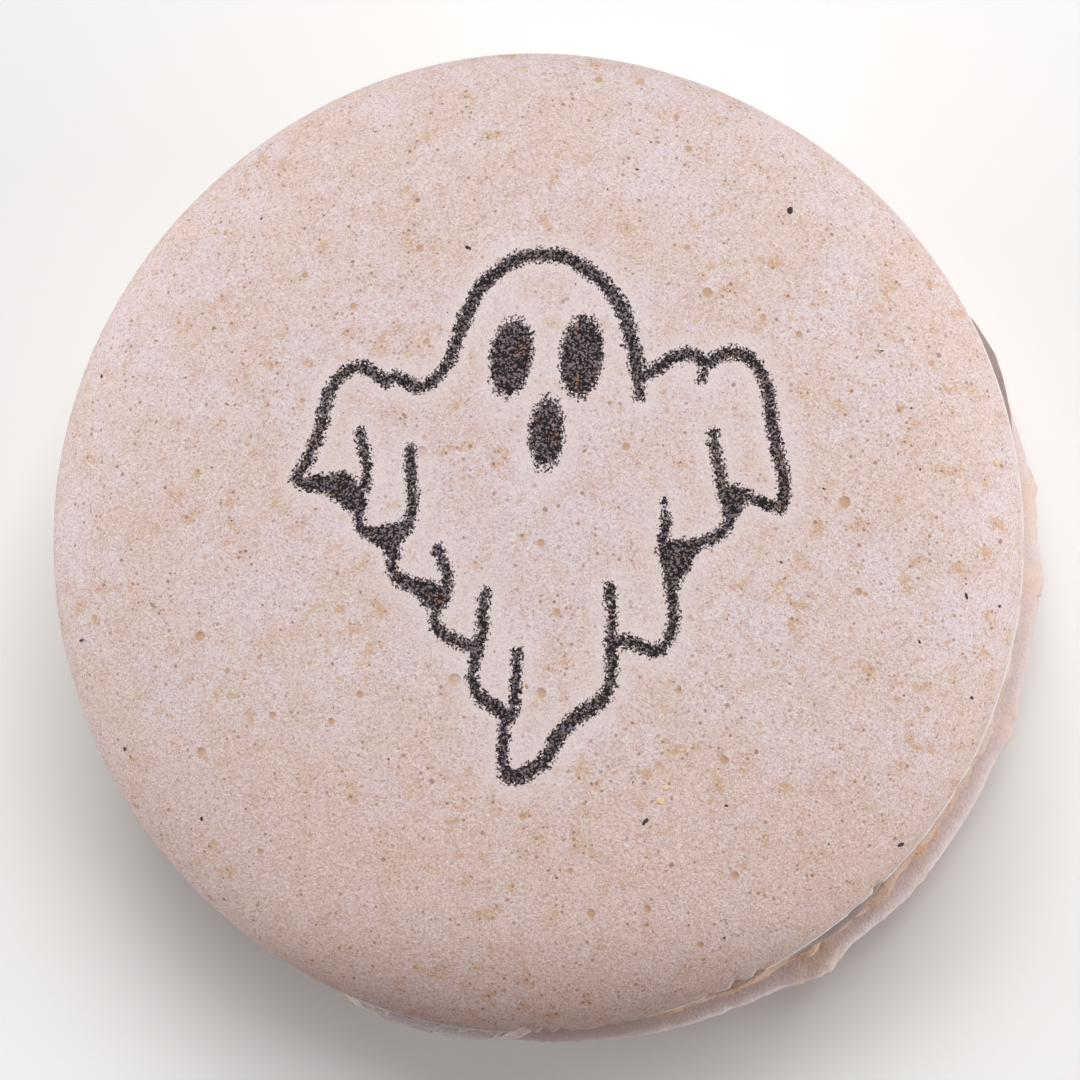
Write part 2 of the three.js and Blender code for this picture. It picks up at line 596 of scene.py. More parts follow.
@dataclass(frozen=True)
class ShellFinish:
    """Baked almond meringue: a matt grainy skin, tan pores and a craggy foot.

    The mesh says where each part of it is. Its tone_and_painted_light goes from -1, lilac, to
    1.
    Toward 1, on the side away from the light, the skin takes a warmer, darker tint, which is
    painted shade.
    """

    name: str
    print_ink: InkFinish | None = None
    ridge: float = 0.18
    pink: Colour = (0.765, 0.642, 0.660)
    beige: Colour = (0.745, 0.592, 0.550)
    # Painted shade: the warmer, darker tint of the side away from the light.
    warm_shade_tint: Colour = (0.735, 0.530, 0.470)
    lilac: Colour = (0.740, 0.635, 0.690)
    cloud: Colour = (0.640, 0.450, 0.340)
    amber: Colour = (0.650, 0.420, 0.270)
    brown: Colour = (0.330, 0.185, 0.120)
    russet: Colour = (0.470, 0.270, 0.205)
    glint: Colour = (0.950, 0.900, 0.890)
    # Pale rim colours, a painted highlight along the lip; on the lower shell the low side's is
    # brighter, painted light on a band in shade.
    edge: Colour = (0.960, 0.900, 0.890)
    painted_rim_light_low: Colour = (0.960, 0.890, 0.880)
    peach: Colour = (0.880, 0.730, 0.610)
    layer: Colour = (0.580, 0.475, 0.480)
    # Painted shade: a tint multiplied in where the shell lies away from the light.
    painted_shade_tint: Colour = (0.720, 0.660, 0.640)
    pore: Colour = (0.610, 0.410, 0.290)
    foot_pale: Colour = (0.740, 0.610, 0.575)
    foot_tan: Colour = (0.640, 0.420, 0.265)
    mottle: Patches = Patches(4.0, 0.36, 0.62, detail=4, rough=0.6)
    warm_shade_share: float = 0.55
    lilac_share: float = 0.40
    clouds: Patches = Patches(1.5, 0.46, 0.70, 0.38, 5, 0.65)
    stains: Patches = Patches(0.9, 0.55, 0.70, 0.85)
    stain_groups: Patches = Patches(5.0, 0.42, 0.60, 0.75)
    skin_grain: Grain = Grain(0.066, 0.42, 0.52, 0.66, 0.42)
    fine_dots: Dots = Dots(0.27, 0.11, 0.62, 0.78)
    fine_groups: Patches = Patches(0.9, 0.40, 0.62, 0.75)
    amber_dots: Dots = Dots(0.70, 0.17, 0.55, 0.6)
    brown_dots: Dots = Dots(1.2, 0.17, 0.50, 0.75)
    foot_patches: Patches = Patches(0.75, 0.50, 0.66, 0.75, rough=0.6)
    foot_toast: float = 0.55
    layer_share: float = 0.75
    foot_grain: Grain = Grain(0.07, 0.35, 0.30, 0.7, 0.3)
    rim_patches: Patches = Patches(1.0, 0.50, 0.68, 0.55, 4, 0.6)
    rim_lumps: tuple[float, float] = (0.03, 0.22)
    lump_share: float = 0.65
    rim_grain: Grain = Grain(0.07, 0.4, 0.16)
    rim_highlight_share: float = 0.85
    coarse: Relief = Relief(0.17, 3, 0.7, 0.10, 0.7)
    fine: Relief = Relief(0.07, 1, 0.5, 0.02, 0.6)

    def _skin(self, graph: Graph) -> bpy.types.NodeSocket:
        """The smooth skin's colour.

        Args:
            graph: The finish's graph.

        Returns:
            The colour, mottled, specked and sparkling.
        """
        tone_and_painted_light = graph.attribute("tone_and_painted_light")
        colour = graph.mix(self.mottle.on(graph), self.pink, self.beige)
        # Painted shade: a warmer, darker tint toward the side away from the light.
        colour = graph.mix(tone_and_painted_light.rises(0.0, 1.0) * self.warm_shade_share, colour, self.warm_shade_tint)
        colour = graph.mix(tone_and_painted_light.rises(0.0, -1.0) * self.lilac_share, colour, self.lilac)
        colour = graph.mix(self.clouds.on(graph), colour, self.cloud)
        groups = self.stain_groups.on(graph) + (1 - self.stain_groups.share)
        colour = graph.mix(self.stains.on(graph) * groups, colour, self.amber)
        colour = self.skin_grain.over(graph, colour, self.russet, self.glint)
        groups = self.fine_groups.on(graph) + (1 - self.fine_groups.share)
        colour = graph.mix(self.fine_dots.on(graph) * groups, colour, self.brown)
        colour = graph.mix(self.amber_dots.on(graph), colour, self.amber)
        return graph.mix(self.brown_dots.on(graph), colour, self.brown)

    def _foot(self, graph: Graph) -> bpy.types.NodeSocket:
        """The foot's colour.

        Args:
            graph: The finish's graph.

        Returns:
            The colour: pale lumps, toasted patches and lilac torn layers.
        """
        tone_and_painted_light = graph.attribute("tone_and_painted_light")
        tan = self.foot_patches.on(graph) + tone_and_painted_light.rises(0.0, 1.0) * self.foot_toast
        colour = graph.mix(tan, self.foot_pale, self.foot_tan)
        colour = graph.mix(tone_and_painted_light.rises(0.0, -1.0) * self.layer_share, colour, self.layer)
        return self.foot_grain.over(graph, colour, self.brown, self.glint)

    def _rim_and_highlight(self, graph: Graph) -> bpy.types.NodeSocket:
        """The lip's colour, with a painted highlight.

        Args:
            graph: The finish's graph.

        Returns:
            The colour: a pale painted highlight, with peach patches that cover its lumps.
        """
        low = graph.attribute("tone_and_painted_light").rises(0.0, 1.0)
        colour = graph.mix(low, self.edge, self.painted_rim_light_low)
        lump = graph.attribute("lump").rises(*self.rim_lumps) * self.lump_share
        colour = graph.mix(self.rim_patches.on(graph) + lump, colour, self.peach)
        return self.rim_grain.over(graph, colour, self.brown, self.glint)

    def make(self) -> bpy.types.Material:
        """Builds the material.

        Returns:
            The material.
        """
        graph = Graph(self.name)
        lip = graph.attribute("lip")
        colour = graph.mix(graph.attribute("foot"), self._skin(graph), self._foot(graph))
        # Painted highlight: the pale rim colour along the lip and the edges of the torn layers.
        colour = graph.mix(lip * self.rim_highlight_share, colour, self._rim_and_highlight(graph))
        colour = graph.mix(graph.attribute("pore"), colour, self.pore)
        # Painted shade: darkens the colour where the shell lies away from the light.
        colour = graph.mix(graph.attribute("shade"), colour, self.painted_shade_tint, "MULTIPLY")
        if self.print_ink:
            colour = self.print_ink.over(graph, colour)
        normal = graph.bump(lip, self.ridge, 1.0)
        normal = self.fine.on(graph, self.coarse.on(graph, normal))
        return graph.surface(
            Base_Color=colour, Roughness=0.85, Normal=normal, Specular_IOR_Level=0.1
        )


@dataclass(frozen=True)
class FillingFinish:
    """Soft ganache: grey-taupe, smooth and a little shiny."""

    name: str
    base: Colour = (0.285, 0.205, 0.190)
    pale: Colour = (0.360, 0.268, 0.252)
    clouds: Patches = Patches(1.8, 0.4, 0.7, detail=4)
    relief: Relief = Relief(0.35, 4, 0.6, 0.05, 0.4)
    smoothest: float = 0.4
    uneven: float = 0.2

    def make(self) -> bpy.types.Material:
        """Builds the material.

        Returns:
            The material.
        """
        graph = Graph(self.name)
        colour = graph.mix(self.clouds.on(graph), self.base, self.pale)
        rough = graph.noise(2.2, 2) * self.uneven + self.smoothest
        normal = self.relief.on(graph)
        return graph.surface(Base_Color=colour, Roughness=rough, Normal=normal)


@dataclass(frozen=True)
class SpeckFinish:
    """Bits of almond skin and nut in the meringue."""

    name: str
    base: Colour
    other: Colour
    patches: Patches = Patches(0.12, 0.35, 0.65)
    relief: Relief = Relief(0.06, 3, 0.5, 0.02, 0.5)

    def make(self) -> bpy.types.Material:
        """Builds the material.

        Returns:
            The material.
        """
        graph = Graph(self.name)
        colour = graph.mix(self.patches.on(graph), self.base, self.other)
        normal = self.relief.on(graph)
        return graph.surface(Base_Color=colour, Roughness=0.7, Normal=normal)


@dataclass(frozen=True)
class FloorFinish:
    """A plain pale matt table."""

    name: str
    base: Colour = (0.93, 0.92, 0.91)
    pale: Colour = (0.95, 0.95, 0.95)

    def make(self) -> bpy.types.Material:
        """Builds the material.

        Returns:
            The material.
        """
        graph = Graph(self.name)
        shade = graph.mix(graph.noise(40, 2), self.base, self.pale)
        return graph.surface(Base_Color=shade, Roughness=0.9)


def finished_piece(
    bm: bmesh.types.BMesh,
    name: str,
    material: bpy.types.Material,
    replaced: Iterable[str] = (),
) -> bpy.types.Object:
    """Turns a mesh in millimetres to a piece of the object.

    Args:
        bm: The mesh, which is freed.
        name: The piece's name.
        material: Its finish.
        replaced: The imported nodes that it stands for.

    Returns:
        The piece's object.
    """
    bmesh.ops.recalc_face_normals(bm, faces=bm.faces)
    bmesh.ops.scale(bm, vec=(MM, MM, MM), verts=bm.verts)
    for face in bm.faces:
        face.smooth = True
    mesh = bpy.data.meshes.new(name)
    bm.to_mesh(mesh)
    bm.free()
    mesh.materials.append(material)
    piece = bpy.data.objects.new(name, mesh)
    bpy.context.scene.collection.objects.link(piece)
    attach(piece, "root")
    if replaced:
        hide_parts(*replaced)
    triangles = sum(len(p.vertices) - 2 for p in mesh.polygons)
    LOG.info("%s: %d triangles", name, triangles)
    return piece


@dataclass(frozen=True)
class Crag:
    """A rounded lump on a foot."""

    angle: float
    height: float
    width: float
    middle: float
    tall: float

    def reach(
        self, angle: np.ndarray, height: np.ndarray, radius: float
    ) -> np.ndarray:
        """How far the lump stands out.

        Args:
            angle: The side of each place, in radians.
            height: Each place's height above the shell's flat side.
            radius: The shell's radius.

        Returns:
            The reach at each place, in millimetres.
        """
        across = turn_between(angle, self.angle) * radius / (self.width / 2)
        up = (height - self.middle) / self.tall
        return self.height * dome(np.hypot(across, up))


@dataclass
class Shell:
    """One almond shell: a smooth dome on a ruffled foot, with its flat side at z = 0."""

    name: str
    seed: int
    foot_radius: float
    lip_rounding: float
    bold: Sequence[tuple[float, float, float]]
    lumps: Sequence[tuple[float, float, float]]
    finish: ShellFinish
    cells: int
    rest_radius: float = 0.0
    notches: Sequence[tuple[float, float, float]] = ()
    chips: Sequence[Chips] = (Chips(0.10, 1.1, 0.15), Chips(0.04, 0.4))
    torn: tuple[float, float] | None = None
    torn_chips: Chips = Chips(0.16, 0.9, -0.1, 4)
    layer_count: int = 4
    layer_height: float = 0.16
    layer_reach: float = 0.14
    layer_edge: float = 0.04
    layer_undercut: float = 0.7
    layer_waves: Uneven = Uneven(0.13, 2.2)
    layer_rags: Uneven = Uneven(0.05, 1.6, 4)
    highlight_above_lip: float = 0.9
    highlight_under_lip: float = 0.3
    lip_rough: Uneven | None = None
    lump_rough: Uneven = Uneven(0.20, 0.8, 4)
    lump_pits: Hollows = Hollows(0.45, 0.6, 0.45)
    lump_tall: float = 1.1
    # Painted shade: how strong it is and where it rises across and down the shell.
    painted_shade_share: float = 0.9
    painted_shade_down: tuple[float, float] = (-16.5, -22.2)
    painted_shade_across: tuple[float, float] | None = None
    warm_shade_down: tuple[float, float] = (-3.0, -18.0)
    pale_middle: float = 8.0
    foot_lumps: Uneven = Uneven(0.17, 1.2)
    foot_hollows: Hollows = Hollows(0.30, 1.0, 0.42)
    foot_pits: Hollows = Hollows(0.12, 0.42, 0.40)
    foot_grain: Uneven = Uneven(0.04, 0.3)
    foot_squash: float = 1.7
    ruffle: float = 1.0
    proud: float = 0.02
    skin_waves: Uneven = Uneven(0.05, 9.0)
    skin_dimples: Uneven = Uneven(0.012, 1.6)
    radius: float = 22.5
    dome_height: float = 6.1
    fullness: float = 2.7
    roundness: float = 2.15
    foot_height: float = 2.4
    foot_bulge: float = 0.55
    turn_under: float = 0.2
    unevenness: float = 0.16
    outline_steps: int = 600
    foot_rows: int = 21
    lip_rows: int = 4
    crag_count: int = 96
    crag_height: tuple[float, float] = (0.08, 0.42)
    crag_width: tuple[float, float] = (1.8, 4.2)
    crag_tall: tuple[float, float] = (0.6, 1.2)
    crag_middle: tuple[float, float] = (0.35, 1.9)
    crag_sink: float = 0.2
    bold_middle: float = 1.1
    bold_tall: float = 1.2
    snug: float = 0.9987
    settled: float = 0.09
    hair: float = 0.001
    crags: list[Crag] = field(init=False)

    def __post_init__(self) -> None:
        """Lays out the small crags round the foot, then the bold ones."""
        self.crags = []
        for i in range(self.crag_count):
            n = self.seed + 10 * i
            self.crags.append(
                Crag(
                    2 * math.pi * (i + scatter(n)) / self.crag_count,
                    between(*self.crag_height, scatter(n + 1) ** 1.5),
                    between(*self.crag_width, scatter(n + 2) ** 2),
                    between(*self.crag_middle, scatter(n + 3)),
                    between(*self.crag_tall, scatter(n + 4)),
                )
            )
        for side, height, width in self.bold:
            self.crags.append(
                Crag(
                    math.radians(side), height, width, self.bold_middle, self.bold_tall
                )
            )

    @property
    def widest(self) -> float:
        """The height of the lip's widest line above the flat side."""
        return self.foot_height + self.lip_rounding

    def rise(self, radius: float) -> float:
        """The dome's height at a radius, above the lip."""
        rest = max(1 - (radius / self.radius) ** self.fullness, 0.0)
        return self.dome_height * rest ** (1 / self.roundness)

    @property
    def height(self) -> float:
        """The height from the flat side to the crown or to the spot it rests on."""
        return self.widest + self.rise(self.rest_radius)

    def _dome_outline(self) -> tuple[np.ndarray, np.ndarray, np.ndarray]:
        """The dome's outline from its crown to its lip.

        Returns:
            The share of the way along it, and the radius and height there.
        """
        turn = np.linspace(math.pi / 2, 0, self.outline_steps)
        radius = self.radius * np.clip(np.cos(turn), 0, 1) ** (2 / self.fullness)
        height = self.dome_height * np.sin(turn) ** (2 / self.roundness)
        if self.rest_radius:
            height = np.minimum(height, self.rise(self.rest_radius))
        steps = np.hypot(np.diff(radius), np.diff(height))
        along = np.concatenate([[0], np.cumsum(steps)])
        return along / along[-1], radius, height + self.widest

    def _shape_dome(self, bm: bmesh.types.BMesh) -> None:
        """Bends a square grid into the dome, its rings evenly spaced.

        Args:
            bm: The grid.
        """
        share, radius, height = self._dome_outline()
        flat = coordinates(bm)
        x, y = flat[:, 0], flat[:, 1]
        ring = np.maximum(np.abs(x), np.abs(y))
        ring = ring / ring.max()
        longer = np.where(np.abs(x) >= np.abs(y), x, y)
        shorter = np.where(np.abs(x) >= np.abs(y), y, x)
        safe = np.where(longer == 0, 1.0, longer)
        turn = math.pi / 4 * shorter / safe
        angle = np.where(np.abs(x) >= np.abs(y), turn, math.pi / 2 - turn)
        angle = angle + np.where(longer < 0, math.pi, 0)
        r = np.interp(ring, share, radius)
        z = np.interp(ring, share, height)
        place_vertices(bm, np.stack([r * np.cos(angle), r * np.sin(angle), z], 1))

    def _rows_below(self) -> list[tuple[float, float]]:
        """The rows from under the lip down over the foot.

        Returns:
            Each row's radius and height.
        """
        rows = []
        for i in range(1, self.lip_rows + 1):
            turn = math.pi / 2 * i / self.lip_rows
            rows.append(
                (
                    self.radius - self.lip_rounding * (1 - math.cos(turn)),
                    self.widest - self.lip_rounding * math.sin(turn) * 0.98,
                )
            )
        for i in range(self.foot_rows):
            share = 1 - i / (self.foot_rows - 1)
            bulge = math.sin(math.pi * between(self.turn_under, 1, share))
            rows.append(
                (self.foot_radius + self.foot_bulge * bulge, self.foot_height * share)
            )
        rows.append((self.foot_radius * 0.9, 0.0))
        return rows

    @staticmethod
    def _extrude_row(
        bm: bmesh.types.BMesh, rim: list[bmesh.types.BMEdge], row: tuple[float, float]
    ) -> list[bmesh.types.BMEdge]:
        """Extrudes the open rim to a new row.

        Args:
            bm: The shell so far.
            rim: Its open edges.
            row: The new row's radius and height.

        Returns:
            The new open edges.
        """
        made = bmesh.ops.extrude_edge_only(bm, edges=rim)["geom"]
        radius, height = row
        for vertex in (g for g in made if isinstance(g, bmesh.types.BMVert)):
            angle = math.atan2(vertex.co.y, vertex.co.x)
            vertex.co = (radius * math.cos(angle), radius * math.sin(angle), height)
        return [
            g for g in made if isinstance(g, bmesh.types.BMEdge) and g.is_boundary
        ]

    def _foot_relief(self, places: np.ndarray, share: np.ndarray) -> np.ndarray:
        """The fine relief of the foot: hollows, lumps and layers.

        Args:
            places: Each place on the foot.
            share: Its height as a share of the foot's.

        Returns:
            How far each place stands out, in millimetres.
        """
        apart = places + Vector((0, 0, self.seed))
        stretched = apart * np.array([1, 1, self.foot_squash])
        body = np.sin(math.pi * np.clip(share, 0, 1)) ** 0.5
        coarse = self.foot_lumps.at(stretched) + self.foot_hollows.at(stretched)
        coarse += self.foot_pits.at(apart)
        ground = coarse * self.ruffle + self.foot_grain.at(apart)
        return np.minimum(ground, self.proud) * body

    def _torn_skin(
        self, places: np.ndarray, grown: np.ndarray
    ) -> tuple[np.ndarray, np.ndarray, np.ndarray]:
        """Thin torn layers that step out from under the lip, where the shell has them.

        Args:
            places: Each place on the plain shell.
            grown: Its radius without the layers.

        Returns:
            Its radius with them, how much of a pale torn edge it is, and the
            layers' share of it.
        """
        nothing = np.zeros(len(places))
        if self.torn is None:
            return grown, nothing, nothing
        angle = np.degrees(np.arctan2(places[:, 1], places[:, 0]))
        low, high = self.torn
        along = smooth_step(low - 8, low + 3, angle)
        along *= smooth_step(high + 7, high - 3, angle)
        near = np.nonzero((along > 0) & (places[:, 2] < self.widest + 0.1))[0]
        height, share = places[near, 2], along[near]
        rim = places[near] * np.array([1, 1, 0])
        level = height + self.layer_waves.at(rim)
        step = np.clip((self.foot_height - level) / self.layer_height, 0, self.layer_count)
        whole = np.minimum(np.floor(step), self.layer_count - 1)
        out = self.radius + self.layer_edge + self.layer_reach * whole
        out += self.layer_rags.at(rim + 30 * whole[:, None])
        out -= self.layer_undercut * smooth_step(0.9, 0.0, height)
        out += wobble(np.radians(angle[near]), self.unevenness, self.seed)
        result, crisp = grown.copy(), nothing.copy()
        result[near] = grown[near] * (1 - share) + out * share
        crisp[near] = share * (0.2 + 0.6 * smooth_step(0.35, 0.1, step - whole))
        return result, crisp, along

    def _lip_relief(self, angle: np.ndarray) -> np.ndarray:
        """How far the lip's edge is chipped back.

        Args:
            angle: The side of each place, in radians.

        Returns:
            The depth of the chips and notches at each place, in millimetres.
        """
        ring = np.stack([np.cos(angle), np.sin(angle), 0 * angle + self.seed], 1)
        ring[:, :2] *= self.radius
        depth = sum(chips.at(ring) for chips in self.chips)
        if self.torn is not None:
            low, high = self.torn
            side = np.degrees(angle)
            near = smooth_step(low, low + 10, side) * smooth_step(high + 26, high, side)
            depth = depth + near * self.torn_chips.at(ring)
        for side, deep, width in self.notches:
            across = turn_between(angle, math.radians(side)) * self.radius
            depth = depth + deep * dome(across / (width / 2))
        return depth

    def _painted_shade(self, x: np.ndarray, y: np.ndarray) -> np.ndarray:
        """How much painted shade darkens the shell at each place, from 0 to 1."""
        across = smooth_step(*self.painted_shade_across, x) if self.painted_shade_across else 1.0
        return self.painted_shade_share * across * smooth_step(*self.painted_shade_down, y)

    def _crag_growth(self, places: np.ndarray, angle: np.ndarray) -> np.ndarray:
        """The crags of the foot with their fine relief.

        Args:
            places: Each place on the foot.
            angle: Its side, in radians.

        Returns:
            How far each place stands out, in millimetres.
        """
        height = places[:, 2]
        crag = np.zeros(len(places))
        for lump in self.crags:
            crag = np.maximum(crag, lump.reach(angle, height, self.radius))
        relief = self._foot_relief(places, height / self.foot_height)
        return crag - self.crag_sink + relief

    def _lip_lumps(self, angle: np.ndarray, z: np.ndarray) -> np.ndarray:
        """The soft swellings of the lip.

        Args:
            angle: The side of each place, in radians.
            z: Its height above the flat side.

        Returns:
            How far each place stands out, in millimetres.
        """
        lump = np.zeros(len(z))
        for side, height, width in self.lumps:
            across = turn_between(angle, math.radians(side)) * self.radius / (width / 2)
            lump = np.maximum(lump, height * dome(across))
        return lump * dome((z - self.widest) / self.lump_tall)

    def _chip_lip(
        self, places: np.ndarray, angle: np.ndarray, grown: np.ndarray, on_foot: np.ndarray
    ) -> None:
        """Chips the lip, and clears the skin over the chips so that they show.

        Args:
            places: Each place on the plain shell.
            angle: Its side, in radians.
            grown: Its radius, which is changed.
            on_foot: Whether it is on the foot.
        """
        z, radius = places[:, 2], np.hypot(places[:, 0], places[:, 1])
        near_lip = np.exp(-(((z - self.widest) / (1.4 * self.lip_rounding)) ** 2))
        near_lip *= (radius > 0.9 * self.radius) & ~on_foot
        at = np.nonzero(near_lip > 0.02)[0]
        grown[at] -= self._lip_relief(angle[at]) * near_lip[at]
        if self.lip_rough:
            rough = self.lip_rough.at(places[at])
            grown[at] += np.minimum(rough, 0.1 * self.lip_rough.height) * near_lip[at]
            return
        rim = np.nonzero((z > self.widest - self.hair) & (radius > 0.95 * self.radius))[0]
        round_lip = self.radius + wobble(angle[rim], self.unevenness, self.seed)
        cut = round_lip * self.snug - self._lip_relief(angle[rim])
        grown[rim] = np.minimum(grown[rim], cut)

    def _grow(self, bm: bmesh.types.BMesh) -> None:
        """Gives the plain turned shell its uneven outline, crags, lip and skin.

        Args:
            bm: The plain shell.
        """
        places = coordinates(bm)
        x, y, z = places.T
        radius, angle = np.hypot(x, y), np.arctan2(y, x)
        out = (radius / self.radius) ** 2
        outer = radius > 0.93 * self.foot_radius
        on_foot = (z < self.foot_height + self.hair) & outer
        grown = (radius + wobble(angle, self.unevenness, self.seed) * out) * self.snug
        grown[on_foot] += self._crag_growth(places[on_foot], angle[on_foot])
        lump = self._lip_lumps(angle, z) * out
        grown += lump
        high = lump > 0.04
        pits = self.lump_rough.at(places[high]) + self.lump_pits.at(places[high])
        grown[high] += np.minimum(pits, self.proud) * smooth_step(0.04, 0.2, lump[high])
        below = (z < self.widest - self.hair) & outer
        terraces, crisp, layered = self._torn_skin(places, grown)
        grown[below] = terraces[below]
        self._chip_lip(places, angle, grown, on_foot)
        tall = z.copy()
        if not self.rest_radius:
            skin = z > self.widest + self.hair
            waves = self.skin_waves.at(places[skin]) + self.skin_dimples.at(places[skin])
            tall[skin] += (waves - self.settled) * (1 - out[skin] ** 4)
        spread = [grown * np.cos(angle), grown * np.sin(angle), tall]
        place_vertices(bm, np.stack(spread, 1))
        # The lip mask: a pale band along the lip, a painted highlight.
        above = tall - self.widest
        away = np.where(above > 0, above / self.highlight_above_lip, -above / self.highlight_under_lip)
        edge = smooth_step(1.0, 0.5, away) * (radius > 0.9 * self.radius)
        # Rises toward the low side, where it brings painted shade to the skin; lilac in the
        # middle.
        tone_and_painted_light = smooth_step(*self.warm_shade_down, y) - np.exp(-((radius / self.pale_middle) ** 2))
        hold(bm, "lump", lump)
        hold(bm, "foot", on_foot)
        hold(bm, "lip", np.where(on_foot, crisp, edge))
        hold(bm, "tone_and_painted_light", np.where(on_foot, tone_and_painted_light * (1 - layered) - layered, tone_and_painted_light))
        # Painted shade, kept off the torn layers of the foot.
        hold(bm, "shade", self._painted_shade(x, y) * (1 - layered * on_foot))

    def _surface_details(self, bm: bmesh.types.BMesh) -> None:
        """A shell adds pores and a print here, while it stands at the origin."""
        hold(bm, "pore", [0.0] * len(bm.verts))

    def _place(self, bm: bmesh.types.BMesh) -> None:
        """Moves the finished shell to where it sits in the macaron."""

    def build(self) -> bpy.types.Object:
        """Builds the shell, dresses it and puts it in place.

        Returns:
            The shell's piece.
        """
        bm = bmesh.new()
        bmesh.ops.create_grid(
            bm, x_segments=self.cells, y_segments=self.cells, size=1.0
        )
        self._shape_dome(bm)
        rim = [e for e in bm.edges if e.is_boundary]
        for row in self._rows_below():
            rim = self._extrude_row(bm, rim, row)
        middle = bmesh.ops.extrude_edge_only(bm, edges=rim)["geom"]
        pole = [g for g in middle if isinstance(g, bmesh.types.BMVert)]
        bmesh.ops.pointmerge(bm, verts=pole, merge_co=(0, 0, 0))
        self._grow(bm)
        self._surface_details(bm)
        self._place(bm)
        return finished_piece(
            bm, f"{self.name}_baked", self.finish.make(), [self.name]
        )


@dataclass
class Sitting:
    """How the pieces sit on each other: a wedge that opens on one side."""

    open_side: float = -48
    tilt: float = 1.1
    lower_shift: float = 1.05
    lower_shift_side: float = -42
    thickness: float = 3.3
    seam: float = 0.05
    lower_height: float = 8.8

    def lift(self, x: np.ndarray, y: np.ndarray) -> np.ndarray:
        """The rise of the upper shell's flat side at a place, from its tilt."""
        side, steep = math.radians(self.open_side), math.tan(math.radians(self.tilt))
        return (x * math.cos(side) + y * math.sin(side)) * steep

    @property
    def upper_floor(self) -> float:
        """The height of the upper shell's flat side on its axis."""
        return self.lower_height + self.thickness + 2 * self.seam

    @property
    def shift(self) -> Vector:
        """The way from the upper shell's axis to the lower one's."""
        side = math.radians(self.lower_shift_side)
        return self.lower_shift * Vector((math.cos(side), math.sin(side), 0))


@dataclass
class LowerShell(Shell):
    """The lower shell, crown down."""

    sitting: Sitting = field(default_factory=Sitting)

    def _place(self, bm: bmesh.types.BMesh) -> None:
        """Turns the shell over and shifts it from the upper one's axis.

        Args:
            bm: The shell at the origin.
        """
        turned = Matrix.Scale(-1, 4, Vector((0, 0, 1)))
        bmesh.ops.transform(bm, matrix=turned, verts=bm.verts)
        there = AXIS + self.sitting.shift + Vector((0, 0, self.height))
        bmesh.ops.translate(bm, vec=there, verts=bm.verts)


@dataclass
class UpperShell(Shell):
    """The upper shell, crown up, with its pores and its print.

    A pore is its x, y and radius, in millimetres from the shell's axis.
    """

    sitting: Sitting = field(default_factory=Sitting)
    pores: Sequence[tuple[float, float, float]] = ()
    ghost: "GhostPrint | None" = None
    pore_cuts: int = 3
    pore_depth: float = 0.25
    pore_rim: float = 0.08

    def _split_round_pores(self, bm: bmesh.types.BMesh) -> None:
        """Cuts the faces round each pore finer, so that the hollow is round.

        Args:
            bm: The shell at the origin.
        """
        centres = np.array([(x, y, 1.5 * size + 0.05) for x, y, size in self.pores])
        edges = set()
        for face in bm.faces:
            c = face.calc_center_median()
            away = np.hypot(centres[:, 0] - c.x, centres[:, 1] - c.y)
            if c.z >= self.widest and np.any(away < centres[:, 2]):
                edges.update(face.edges)
        bmesh.ops.subdivide_edges(
            bm, edges=list(edges), cuts=self.pore_cuts, use_grid_fill=True
        )

    def _sink_pores(self, bm: bmesh.types.BMesh) -> None:
        """Presses each pore in, with a slightly raised rim.

        Args:
            bm: The shell at the origin.
        """
        pore_layer = bm.verts.layers.float["pore"]
        places = coordinates(bm)
        top = places[:, 2] > self.widest
        for x, y, size in self.pores:
            away = np.hypot(places[:, 0] - x, places[:, 1] - y) / size
            for i in np.nonzero(top & (away < 1.6))[0]:
                d, vertex = float(away[i]), bm.verts[i]
                hollow = self.pore_depth * max(1 - d**2, 0.0) ** 0.5
                rim = self.pore_rim * math.exp(-(((d - 1.1) / 0.2) ** 2))
                vertex.co.z += size * (rim - hollow)
                inside = max(0.0, min(1.0, (1.08 - d) / 0.16))
                vertex[pore_layer] = max(vertex[pore_layer], inside)

    def _surface_details(self, bm: bmesh.types.BMesh) -> None:
        """Adds the pores and the print's distance to the nearest ink.

        Args:
            bm: The shell at the origin.
        """
        super()._surface_details(bm)
        self._split_round_pores(bm)
        bm.verts.ensure_lookup_table()
        self._sink_pores(bm)
        hold(bm, "ink", self.ghost.distance(coordinates(bm), self.widest))

    def _place(self, bm: bmesh.types.BMesh) -> None:
        """Tilts the shell on the filling.

        Args:
            bm: The shell at the origin.
        """
        for vertex in bm.verts:
            vertex.co.z += self.sitting.upper_floor
            vertex.co.z += self.sitting.lift(vertex.co.x, vertex.co.y)
        bmesh.ops.translate(bm, vec=AXIS, verts=bm.verts)

    def surface_point(self, x: float, y: float) -> tuple[Vector, Vector]:
        """A place on the placed shell's skin.

        Args:
            x: Millimetres from the shell's axis.
            y: Millimetres from the shell's axis.

        Returns:
            The place in the frame, in millimetres, and the skin's normal.
        """

        def skin(px: float, py: float) -> Vector:
            """The skin's place over a point."""
            away = math.hypot(px, py)
            z = self.widest + self.rise(away)
            z -= self.settled * (1 - (away / self.radius) ** 8)
            z += self.sitting.upper_floor + float(self.sitting.lift(px, py))
            return AXIS + Vector((px, py, z))

        step = 0.05
        here = skin(x, y)
        across = skin(x + step, y) - here
        along = skin(x, y + step) - here
        return here, across.cross(along).normalized()


@dataclass(frozen=True)
class Stroke:
    """One brush line of the print: its width in millimetres and its points."""

    width: float
    points: Sequence[tuple[float, float]]


